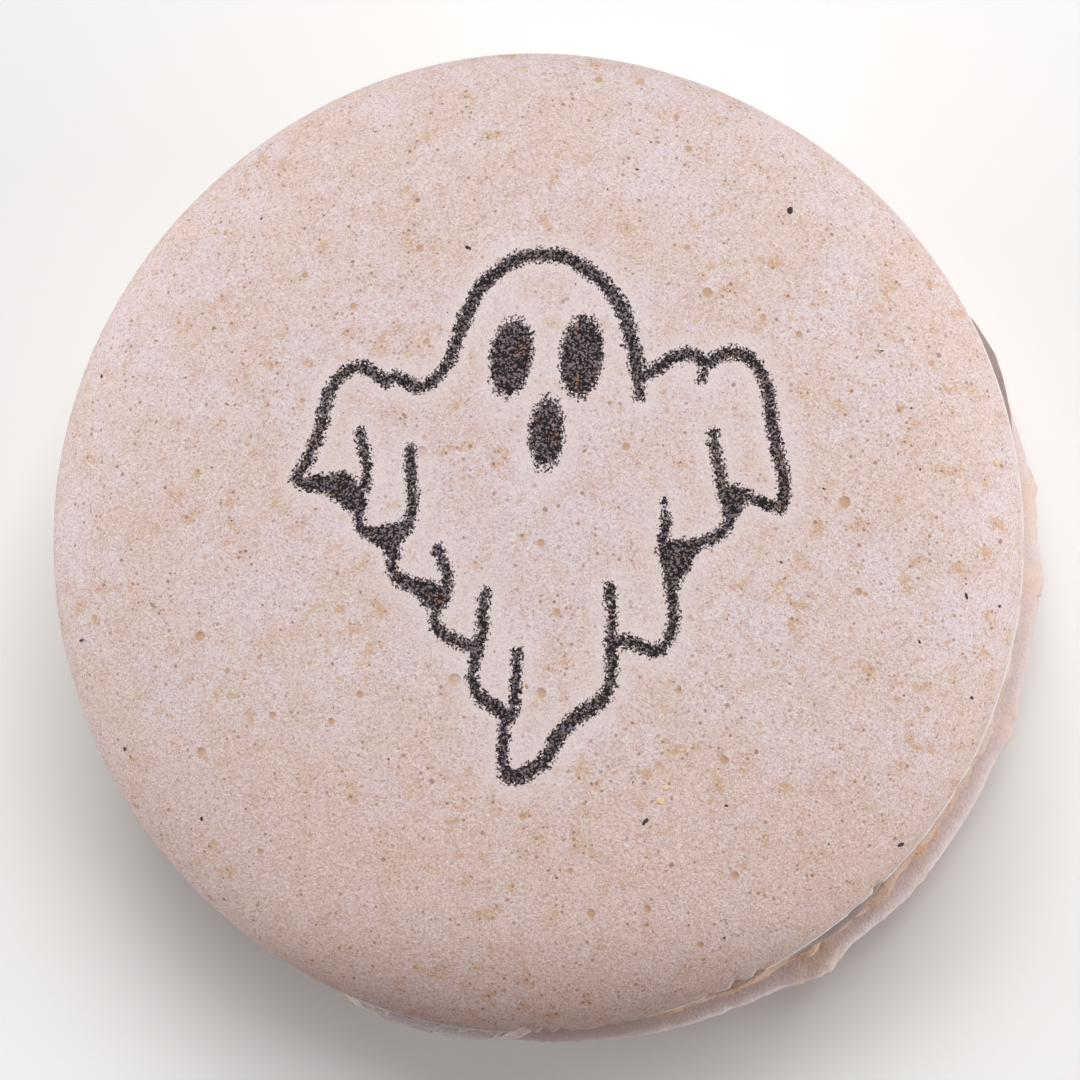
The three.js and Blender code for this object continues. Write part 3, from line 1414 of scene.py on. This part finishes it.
@dataclass
class GhostPrint:
    """A sheet ghost in grainy black: open strokes, filled folds, eyes and mouth.

    Points are in millimetres from the shell's axis. An oval is its middle, its half
    width and half height, and how far it leans to the left, in degrees.
    """

    strokes: Sequence[Stroke] = ()
    fills: Sequence[Sequence[tuple[float, float]]] = ()
    ovals: Sequence[tuple[float, float, float, float, float]] = ()
    far: float = 9.0

    @staticmethod
    def _curve(points: np.ndarray, closed: bool = False) -> np.ndarray:
        """A smooth line through the points, in short steps.

        Args:
            points: One row for each point.
            closed: Whether the line ends where it starts.

        Returns:
            One row for each step.
        """
        if closed:
            ends = np.vstack([points[-1:], points, points[:2]])
        else:
            ends = np.vstack([points[:1], points, points[-1:]])
        steps = np.linspace(0, 1, 8, endpoint=False)[:, None]
        pieces = []
        for a, b, c, d in zip(ends, ends[1:], ends[2:], ends[3:]):
            bend = (2 * a - 5 * b + 4 * c - d) * steps**2
            twist = (3 * b - a - 3 * c + d) * steps**3
            pieces.append(0.5 * (2 * b + (c - a) * steps + bend + twist))
        line = np.vstack(pieces)
        return line if closed else np.vstack([line, points[-1:]])

    @staticmethod
    def _to_line(places: np.ndarray, line: np.ndarray) -> np.ndarray:
        """Each place's distance to the nearest point of a line.

        Args:
            places: One row for each place.
            line: One row for each point of the line.

        Returns:
            The distances.
        """
        best = np.full(len(places), np.inf)
        for a, b in zip(line, line[1:]):
            way = b - a
            share = np.clip((places - a) @ way / max(way @ way, 1e-12), 0, 1)
            away = places - a - share[:, None] * way
            best = np.minimum(best, np.hypot(away[:, 0], away[:, 1]))
        return best

    @staticmethod
    def _inside(places: np.ndarray, line: np.ndarray) -> np.ndarray:
        """Whether each place is inside a closed line.

        Args:
            places: One row for each place.
            line: One row for each point of the line.

        Returns:
            True inside and False outside.
        """
        x, y = places.T
        crossings = np.zeros(len(places), bool)
        for (ax, ay), (bx, by) in zip(line, np.roll(line, -1, axis=0)):
            if ay == by:
                continue
            meets = (ay > y) != (by > y)
            crossings ^= meets & (x < ax + (y - ay) / (by - ay) * (bx - ax))
        return crossings

    def distance(self, places: np.ndarray, above: float) -> np.ndarray:
        """Each place's distance to the nearest ink, in millimetres and below 0 in it.

        Args:
            places: One row for each place on the shell.
            above: The height over which the shell is printed.

        Returns:
            The distances.
        """
        result = np.full(len(places), self.far)
        lines = [self._curve(np.array(s.points)) for s in self.strokes]
        rings = [self._curve(np.array(f), closed=True) for f in self.fills]
        reach = 3.0 + max(np.abs(line).max() for line in lines)
        near = (places[:, 2] > above) & (np.abs(places[:, :2]).max(axis=1) < reach)
        spots = places[near][:, :2]
        best = np.full(len(spots), self.far)
        for stroke, line in zip(self.strokes, lines):
            best = np.minimum(best, self._to_line(spots, line) - stroke.width / 2)
        for ring in rings:
            away = self._to_line(spots, np.vstack([ring, ring[:1]]))
            inside = self._inside(spots, ring)
            best = np.minimum(best, np.where(inside, -away, away))
        for x, y, wide, tall, lean in self.ovals:
            turn = math.radians(lean)
            away = spots - np.array((x, y))
            across = away[:, 0] * math.cos(turn) + away[:, 1] * math.sin(turn)
            along = away[:, 1] * math.cos(turn) - away[:, 0] * math.sin(turn)
            share = np.hypot(across / wide, along / tall)
            best = np.minimum(best, (share - 1) * min(wide, tall))
        result[near] = best
        return result


@dataclass
class Filling:
    """The disc of ganache between the shells, from z = 0 before it is placed."""

    name: str
    finish: FillingFinish
    sitting: Sitting
    swells: Sequence[tuple[float, float, float]]
    radius: float = 21.3
    edge: float = 0.7
    edge_power: float = 0.6
    pressed: float = 0.3
    unevenness: float = 0.22
    seed: int = 500
    waves: Uneven = Uneven(0.10, 1.8)
    ripples: Uneven = Uneven(0.03, 0.5)
    segments: int = 480
    rows: int = 26

    def _bulge(self, share: np.ndarray) -> np.ndarray:
        """How far out the edge bulges at a share of its height, from 0 to 1."""
        return np.clip(np.sin(share * math.pi), 0, 1) ** self.edge_power

    def _swell(self, angle: np.ndarray) -> np.ndarray:
        """How far the edge stands past its round outline.

        Args:
            angle: The side of each place, in radians.

        Returns:
            The distance at each place, in millimetres.
        """
        total = wobble(angle, self.unevenness, self.seed)
        for side, reach, width in self.swells:
            away = turn_between(angle, math.radians(side)) * self.radius
            total = total + reach * dome(away / width)
        return total

    def build(self) -> bpy.types.Object:
        """Spins the outline, then swells, tilts and places the disc.

        Returns:
            The filling's piece.
        """
        bm = bmesh.new()
        top = self.sitting.thickness
        shares = [(1 - math.cos(math.pi * i / self.rows)) / 2 for i in range(self.rows + 1)]
        outline = [bm.verts.new((0, 0, 0))]
        for share in shares:
            reach = self.radius - self.edge * (1 - float(self._bulge(np.array(share))))
            outline.append(bm.verts.new((reach, 0, top * share)))
        outline.append(bm.verts.new((0, 0, top)))
        lines = [bm.edges.new(pair) for pair in zip(outline, outline[1:])]
        bmesh.ops.spin(
            bm,
            geom=[*outline, *lines],
            cent=(0, 0, 0),
            axis=(0, 0, 1),
            angle=2 * math.pi,
            steps=self.segments,
            use_merge=True,
        )
        bmesh.ops.remove_doubles(bm, verts=bm.verts, dist=1e-4)
        places = coordinates(bm)
        x, y, z = places.T
        radius = np.hypot(x, y)
        angle = np.arctan2(y, x)
        share = z / top
        bulge = self._bulge(share)
        rim = radius > 0.5 * self.radius
        grown = radius + rim * self._swell(angle) * between(self.pressed, 1, bulge)
        soft = self.waves.at(places[rim]) + self.ripples.at(places[rim])
        grown[rim] += soft * bulge[rim]
        x, y = grown * np.cos(angle), grown * np.sin(angle)
        z = z + self.sitting.lift(x, y) * share
        z = z + self.sitting.lower_height + self.sitting.seam
        place_vertices(bm, np.stack([x, y, z], 1))
        bmesh.ops.translate(bm, vec=AXIS, verts=bm.verts)
        return finished_piece(
            bm, f"{self.name}_ganache", self.finish.make(), [self.name]
        )


@dataclass
class Specks:
    """Tiny bits pressed into the upper shell's skin, as one piece."""

    name: str
    finish: SpeckFinish
    spots: Sequence[tuple[float, float, float]]
    scattered: int
    size: tuple[float, float]
    seed: int
    longest: float = 1.6
    narrowest: float = 0.7
    thickness: float = 0.3
    sunk: float = 0.1
    lumpy: float = 0.3
    lumps: float = 9.0
    reach: float = 20.5

    def _all_spots(self) -> list[tuple[float, float, float]]:
        """The listed spots and the scattered ones.

        Returns:
            The x, y and radius of each.
        """
        draw = random.Random(self.seed)
        spots = list(self.spots)
        for _ in range(self.scattered):
            radius = self.reach * math.sqrt(draw.random())
            side = draw.uniform(0, 2 * math.pi)
            size = between(*self.size, draw.random() ** 2)
            spots.append((radius * math.cos(side), radius * math.sin(side), size))
        return spots

    def build(self, shell: UpperShell) -> bpy.types.Object:
        """Builds the bits on a shell's skin.

        Args:
            shell: The shell that they lie on.

        Returns:
            The bits' piece.
        """
        draw = random.Random(self.seed + 1)
        noise.seed_set(self.seed)
        bm = bmesh.new()
        for x, y, size in self._all_spots():
            here, normal = shell.surface_point(x, y)
            tilt = normal.to_track_quat("Z", "Y").to_matrix().to_4x4()
            spin = Matrix.Rotation(draw.uniform(0, math.pi), 4, "Z")
            long, short = draw.uniform(1, self.longest), draw.uniform(self.narrowest, 1)
            stretch = Matrix.Diagonal((long, short, self.thickness, 1))
            centre = Matrix.Translation(here - normal * self.sunk * size)
            place = centre @ tilt @ spin @ stretch
            made = bmesh.ops.create_icosphere(bm, subdivisions=2, radius=size, matrix=place)
            for vertex in made["verts"]:
                way = noise.noise_vector(vertex.co * self.lumps)
                vertex.co += way * size * self.lumpy
        return finished_piece(bm, self.name, self.finish.make())


@dataclass
class Studio:
    """A plain pale floor, soft lights and the camera.

    The camera's aim and distance are in millimetres, the lights and the floor in metres.
    A light is its name, its side and its height as angles, its power and its colour.
    """

    aim: Vector
    azimuth: float = -42.0
    elevation: float = 83.0
    distance: float = 210.0
    lens: float = 152.2
    light_distance: float = 0.7
    light_width: float = 0.42
    floor_half: float = 1.5
    glow: Colour = (1.0, 0.97, 0.96)
    glow_strength: float = 0.08
    lights: Sequence[tuple[str, float, float, float, Colour]] = (
        ("right_window", -12, 12, 2.9, (1.0, 1.0, 1.0)),
        ("upper_softbox", 76, 64, 3.95, (1.0, 0.995, 0.99)),
        ("left_window", 176, 12, 2.8, (1.0, 0.995, 0.99)),
    )

    def _floor(self) -> None:
        """A wide flat floor."""
        bm = bmesh.new()
        bmesh.ops.create_grid(bm, x_segments=2, y_segments=2, size=self.floor_half)
        mesh = bpy.data.meshes.new("floor")
        bm.to_mesh(mesh)
        bm.free()
        mesh.materials.append(FloorFinish("pale_floor").make())
        floor = bpy.data.objects.new("floor", mesh)
        bpy.context.scene.collection.objects.link(floor)

    @staticmethod
    def _way(side: float, up: float) -> Vector:
        """The direction of a side and a height, both angles in degrees."""
        turn, rise = math.radians(side), math.radians(up)
        flat = math.cos(rise)
        return Vector((flat * math.cos(turn), flat * math.sin(turn), math.sin(rise)))

    def _light(self, name: str, side: float, up: float, power: float, tint: Colour) -> None:
        """Hangs a wide square light that faces the object.

        Args:
            name: The light's name.
            side: The side that it stands on, in degrees.
            up: Its height above the floor as an angle, in degrees.
            power: Its power, in watts.
            tint: Its colour.
        """
        way = self._way(side, up)
        lamp = bpy.data.lights.new(name, "AREA")
        lamp.energy = power
        lamp.size = self.light_width
        lamp.color = tint
        light = bpy.data.objects.new(name, lamp)
        light.location = way * self.light_distance
        light.rotation_euler = (-way).to_track_quat("-Z", "Y").to_euler()
        bpy.context.scene.collection.objects.link(light)

    def _camera(self) -> None:
        """Looks down on the macaron, tilted to its lower right side."""
        back = self._way(self.azimuth, self.elevation)
        right = Vector((0, 1, 0)).cross(back).normalized()
        turned = Matrix((right, back.cross(right), back)).transposed().to_4x4()
        lens = bpy.data.cameras.new("camera")
        lens.lens = self.lens
        lens.clip_start = 0.01
        camera = bpy.data.objects.new("camera", lens)
        place = Matrix.Translation((self.aim + back * self.distance) * MM)
        camera.matrix_world = place @ turned
        bpy.context.scene.collection.objects.link(camera)
        bpy.context.scene.camera = camera

    def build(self) -> None:
        """Sets up the floor, the lights, the surroundings and the camera."""
        self._floor()
        for light in self.lights:
            self._light(*light)
        world = bpy.data.worlds.new("surroundings")
        world.use_nodes = True
        surroundings = world.node_tree.nodes["Background"]
        surroundings.inputs["Color"].default_value = (*self.glow, 1.0)
        surroundings.inputs["Strength"].default_value = self.glow_strength
        bpy.context.scene.world = world
        bpy.context.scene.view_settings.view_transform = "Standard"
        self._camera()


STROKES = (
    Stroke(0.60, (
        (-2.74, 9.08), (-2.54, 9.68), (-2.13, 10.52), (-1.74, 11.15), (-1.2, 11.59),
        (-0.57, 12.03), (-0.03, 12.3), (0.56, 12.39), (1.24, 12.38), (1.78, 12.3),
        (2.27, 12.09), (2.82, 11.74), (3.36, 11.33), (3.95, 10.73), (4.58, 9.71), (4.81, 9),
        (4.97, 8.29), (5.1, 7.66), (5.17, 7.04),
    )),
    Stroke(0.46, (
        (5.17, 7.04), (5.22, 6.41), (5.32, 5.86),
    )),
    Stroke(0.51, (
        (-2.74, 9.08), (-3.03, 8.24), (-3.35, 7.49), (-3.85, 6.82), (-4.44, 6.45),
        (-4.86, 6.44), (-5.28, 6.69), (-5.7, 6.89), (-6.12, 6.67), (-6.55, 6.99), (-6.98, 7.28),
        (-7.4, 7.37), (-8, 7.19), (-8.5, 6.72), (-8.81, 6.07), (-8.99, 5.31), (-9.19, 4.43),
        (-9.53, 3.59), (-9.9, 2.89), (-10.2, 2.35),
    )),
    Stroke(0.42, (
        (-7.33, 4.44), (-7.21, 3.85), (-7.02, 3.17), (-7, 2.59), (-7.1, 1.92),
    )),
    Stroke(0.46, (
        (-7.44, 1.07), (-7.34, 0.63), (-7.27, 0.05),
    )),
    Stroke(0.46, (
        (-5.03, 3.56), (-5.02, 2.98), (-4.98, 2.31), (-4.91, 1.64), (-4.89, 0.89), (-4.98, 0.6),
        (-5.11, 0.22),
    )),
    Stroke(0.42, (
        (-5.83, -1.23), (-5.8, -1.6), (-5.73, -2.05),
    )),
    Stroke(0.46, (
        (-3.77, -0.93), (-3.61, -1.25), (-3.42, -1.75), (-3.32, -2.26), (-3.39, -2.7),
        (-3.54, -3.14),
    )),
    Stroke(0.42, (
        (-3.83, -3.64), (-3.86, -4.01), (-3.79, -4.39),
    )),
    Stroke(0.52, (
        (-3.79, -4.42), (-3.51, -4.74), (-3.16, -4.93), (-2.72, -5.16), (-2.28, -5.34),
        (-1.99, -5.53),
    )),
    Stroke(0.48, (
        (-1.58, -2.9), (-1.68, -3.4), (-1.74, -3.97), (-1.7, -4.53), (-1.84, -5.03),
        (-1.96, -5.47),
    )),
    Stroke(0.45, (
        (-2.03, -5.53), (-2.09, -5.97), (-2.2, -6.47), (-2.15, -6.97), (-1.93, -7.5),
    )),
    Stroke(0.58, (
        (-1.93, -7.5), (-1.53, -7.79), (-1.02, -8.1), (-0.84, -8.22), (-0.61, -8.5),
    )),
    Stroke(0.42, (
        (-0.15, -5.55), (-0.18, -6.18), (-0.24, -7), (-0.31, -7.73), (-0.48, -8.54),
    )),
    Stroke(0.46, (
        (-0.73, -8.27), (-0.77, -9.09), (-0.83, -9.99), (-0.82, -10.63), (-0.63, -11.08),
    )),
    Stroke(0.62, (
        (-0.63, -11.08), (-0.22, -11.11), (0.24, -10.9), (0.88, -10.54), (1.3, -10),
        (1.62, -9.37), (2.08, -8.78), (2.72, -8.33), (3.36, -7.92), (3.74, -7.52),
    )),
    Stroke(0.48, (
        (3.74, -7.52), (3.98, -7.02), (4.05, -6.39), (4, -5.66), (4, -5.02),
    )),
    Stroke(0.42, (
        (4, -5.02), (4.05, -4.21), (4.03, -3.39), (3.97, -2.7),
    )),
    Stroke(0.54, (
        (4.1, -5.16), (4.73, -5.1), (5.37, -5.32), (5.91, -5.53), (6.36, -5.35),
    )),
    Stroke(0.45, (
        (6.36, -5.35), (6.64, -4.85), (6.78, -4.22), (6.8, -3.49), (6.72, -2.85), (6.65, -2.4),
    )),
    Stroke(0.48, (
        (7.65, -0.76), (8.28, -0.63), (8.83, -0.36), (9.21, 0.05), (9.33, 0.46),
    )),
    Stroke(0.24, (
        (6.43, 1.12), (6.48, 0.66), (6.49, 0.34),
    )),
    Stroke(0.44, (
        (6.46, 0.34), (6.42, -0.21), (6.38, -0.85),
    )),
    Stroke(0.44, (
        (8.59, 4.2), (8.64, 3.67), (8.78, 3.05), (8.9, 2.43), (8.99, 1.81),
    )),
    Stroke(0.51, (
        (5.21, 6.68), (5.75, 6.91), (6.36, 7.34), (6.9, 7.69), (7.44, 7.82), (7.82, 7.66),
        (8.21, 7.4), (8.59, 7.49), (9.05, 7.79), (9.59, 7.83), (10.12, 7.63), (10.58, 7.16),
        (10.93, 6.55), (11.08, 5.92), (11.13, 5.3), (11.21, 4.6), (11.33, 3.9), (11.48, 3.28),
        (11.63, 2.58), (11.72, 1.96), (11.71, 1.27), (11.6, 0.84),
    )),
    Stroke(0.32, (
        (8.28, 7.33), (8.18, 6.98), (8.05, 6.63),
    )),
    Stroke(0.48, (
        (11.6, 0.84), (11.11, 0.97), (10.57, 1.15), (10.04, 1.38), (9.51, 1.62),
    )),
)

FOLDS = (
    (
        (-10.36, 2.22), (-9.81, 2.45), (-8.96, 2.49), (-8.16, 2.6), (-7.69, 2.39),
        (-7.18, 1.92), (-7.01, 1.42), (-7.07, 0.79), (-7.42, 0.59), (-7.85, 0.93),
        (-8.36, 1.27), (-8.95, 1.68), (-9.81, 1.78),
    ),
    (
        (-7.43, 0.12), (-6.99, 0.13), (-6.48, 0.1), (-5.97, 0.2), (-5.33, 0.33), (-4.92, 0.41),
        (-4.93, -0.04), (-5.26, -0.41), (-5.48, -0.79), (-5.48, -1.23), (-5.64, -1.48),
        (-6.02, -1.41), (-6.18, -1.03), (-6.47, -0.78), (-6.92, -0.39), (-7.3, -0.26),
    ),
    (
        (-5.93, -1.93), (-5.64, -1.91), (-5.19, -2.04), (-4.69, -2.26), (-4.18, -2.3),
        (-3.8, -2.45), (-3.54, -2.65), (-3.23, -2.64), (-3.16, -3.01), (-3.32, -3.39),
        (-3.54, -3.7), (-3.86, -3.76), (-4.18, -3.63), (-4.49, -3.25), (-4.87, -2.87),
        (-5.26, -2.68), (-5.7, -2.42), (-5.89, -2.17),
    ),
    (
        (6.17, -0.82), (6.83, -0.64), (7.65, -0.51), (8.01, -0.6), (7.95, -0.99), (7.69, -1.4),
        (7.51, -1.95), (7.15, -2.4), (6.94, -2.86), (6.54, -2.76), (6.37, -2.03), (6.21, -1.39),
    ),
    (
        (8.67, 2.23), (8.91, 1.96), (9.47, 1.73), (10.01, 1.45), (10.08, 1.15), (9.87, 0.78),
        (9.57, 0.37), (9.24, 0.14), (9.03, 0.51), (8.92, 0.97), (8.8, 1.52),
    ),
)

FACE = (
    (-0.47, 7.72, 0.93, 1.77, -8.5),
    (2.69, 7.72, 0.95, 1.82, -5),
    (1.13, 4.26, 0.75, 1.55, -3),
)

PORES = (
    (-13.9, 13.9, 0.11), (-4.7, 12.8, 0.18), (-1.1, 12.1, 0.20), (-10.0, 11.7, 0.16),
    (-7.7, 10.2, 0.16), (-4.3, 8.5, 0.14), (-4.5, 3.5, 0.23), (-4.4, 4.1, 0.11),
    (-10.0, 5.9, 0.14), (3.2, 20.9, 0.18), (6.8, 19.0, 0.14), (7.4, 17.4, 0.16),
    (8.3, 10.6, 0.23), (10.8, 9.5, 0.14), (12.4, 8.7, 0.16), (18.3, 7.5, 0.14),
    (7.4, 12.7, 0.14), (4.7, 3.6, 0.18), (14.4, 1.1, 0.27), (17.0, 8.5, 0.11),
    (-14.7, -4.7, 0.23), (-11.9, -5.7, 0.11), (-13.4, -6.3, 0.13), (-7.3, -7.4, 0.16),
    (-8.6, -8.6, 0.16), (-3.0, -6.8, 0.30), (-14.7, -9.9, 0.20), (-12.0, -14.4, 0.14),
    (0.0, -12.9, 0.14), (-11.3, -8.3, 0.16), (1.6, -3.8, 0.18), (0.9, -7.4, 0.23),
    (0.9, -0.7, 0.18), (7.5, -4.1, 0.14), (15.0, -2.9, 0.18), (15.3, -3.0, 0.12),
    (7.0, -7.3, 0.14), (9.0, -10.4, 0.20), (18.0, -8.1, 0.14), (9.4, -15.5, 0.20),
    (2.1, -15.3, 0.14), (3.0, -17.2, 0.20), (5.5, -17.0, 0.18), (7.8, -18.6, 0.16),
)

DARK_SPOTS = (
    (-12.2, 14.5, 0.08), (-9.2, 14.5, 0.07), (-2.5, 12.8, 0.13), (-1.8, 21.4, 0.08),
    (-8.8, 12.5, 0.06), (-19.8, 7.5, 0.08), (-3.4, 9.8, 0.08), (5.1, 16.4, 0.07),
    (4.0, 12.3, 0.10), (12.0, 14.5, 0.15), (13.5, 1.7, 0.05), (17.8, 2.6, 0.09),
    (17.4, 5.4, 0.06), (16.1, 8.0, 0.06), (4.5, 8.2, 0.10), (-14.8, -12.9, 0.08),
    (-18.5, -9.7, 0.08), (-20.6, -4.7, 0.09), (-7.1, -13.9, 0.06),
    (-4.1, -17.5, 0.08), (-6.0, -10.3, 0.05), (0.5, -21.3, 0.12), (19.8, -3.0, 0.11),
    (21.3, -3.4, 0.08), (20.0, -7.5, 0.12), (17.0, -7.5, 0.05), (17.7, -5.1, 0.07),
    (9.1, -12.4, 0.09), (5.5, -13.1, 0.13), (16.8, -14.1, 0.13), (13.6, -14.1, 0.05),
    (11.6, -1.6, 0.05), (1.5, -15.6, 0.05),
)

YELLOW_SPOTS = (
    (-5.3, 11.2, 0.11), (-14.5, 14.0, 0.08), (-5.7, 19.3, 0.11), (21.2, 3.1, 0.15),
    (6.5, 4.8, 0.09), (6.4, -11.6, 0.14), (5.8, -11.4, 0.09), (6.2, -12.2, 0.20),
    (11.5, -2.9, 0.12), (15.8, -5.9, 0.11),
)


def main() -> None:
    """Builds the macaron and its studio in order."""
    logging.basicConfig(level=logging.INFO, format="%(name)s: %(message)s")
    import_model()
    lower = LowerShell(
        name="bottom_shell",
        seed=4990,
        foot_radius=21.25,
        lip_rounding=0.5,
        bold=(),
        lumps=(
            (9, 0.22, 3.2),
            (-2, 0.3, 3.6),
            (-20, 0.26, 3.6),
            (-43, 0.12, 8),
            (-58, 0.5, 4.2),
        ),
        finish=ShellFinish(
            "baked_meringue",
            ridge=0.0,
            # The rim colours are painted highlight; the low side's is brighter, painted light
            # where the band lies in the upper shell's shadow.
            edge=(0.790, 0.670, 0.650),
            painted_rim_light_low=(0.900, 0.785, 0.795),
            peach=(0.850, 0.670, 0.560),
            foot_pale=(0.780, 0.620, 0.560),
            foot_tan=(0.680, 0.400, 0.260),
        ),
        highlight_above_lip=1.3,
        highlight_under_lip=1.3,
        lip_rough=Uneven(0.10, 0.45, 4),
        # Painted shade on the lower shell's low side, away from the light.
        painted_shade_share=1.0,
        painted_shade_down=(-12, -19),
        painted_shade_across=(8, -2),
        ruffle=0.5,
        cells=150,
        rest_radius=8.0,
    )
    sitting = Sitting(lower_height=lower.height)
    lower.sitting = sitting
    upper = UpperShell(
        name="top_shell",
        seed=1087,
        foot_radius=21.6,
        lip_rounding=0.25,
        bold=(
            (-110, 0.75, 5.2),
            (-101, 0.95, 5.6),
            (-94, 0.85, 4.6),
            (-84, 0.6, 3.6),
            (157, 0.8, 2.2),
            (43, 0.75, 2.4),
        ),
        lumps=(),
        finish=ShellFinish("printed_meringue", print_ink=InkFinish()),
        cells=300,
        notches=(
            (-45.5, 0.3, 0.8),
            (-62.5, 0.2, 0.8),
            (-65.5, 0.25, 0.7),
            (-69, 0.15, 0.6),
            (-86.5, 0.2, 0.9),
            (-88.5, 0.25, 0.8),
            (-90.8, 0.3, 0.9),
        ),
        torn=(-110, -94),
        sitting=sitting,
        pores=PORES,
        ghost=GhostPrint(STROKES, FOLDS, FACE),
    )
    filling = Filling(
        name="filling",
        finish=FillingFinish("soft_ganache"),
        sitting=sitting,
        swells=(
            (22, 1.75, 9.5),
            (-52, 1.2, 9),
            (-120, 0.5, 6),
            (112, 0.7, 9),
            (172, 0.5, 7),
        ),
    )
    lower.build()
    filling.build()
    upper.build()
    Specks(
        name="dark_specks",
        finish=SpeckFinish("almond_skin", (0.02, 0.014, 0.016), (0.07, 0.04, 0.04)),
        spots=DARK_SPOTS,
        scattered=25,
        size=(0.03, 0.06),
        seed=71,
    ).build(upper)
    Specks(
        name="yellow_bits",
        finish=SpeckFinish("almond_flesh", (0.84, 0.60, 0.30), (0.80, 0.62, 0.46)),
        spots=YELLOW_SPOTS,
        scattered=8,
        size=(0.04, 0.08),
        seed=83,
        longest=1.2,
    ).build(upper)
    Specks(
        name="brown_bits",
        finish=SpeckFinish("toasted_almond", (0.40, 0.22, 0.12), (0.55, 0.34, 0.20)),
        spots=((6.7, -12.1, 0.06), (14.8, -11.3, 0.08), (-6.5, -4.0, 0.06)),
        scattered=150,
        size=(0.03, 0.085),
        seed=97,
    ).build(upper)
    lip = sitting.upper_floor + upper.widest
    Studio(aim=AXIS + Vector((0.299, -0.06, lip))).build()


if __name__ == "__main__":
    main()
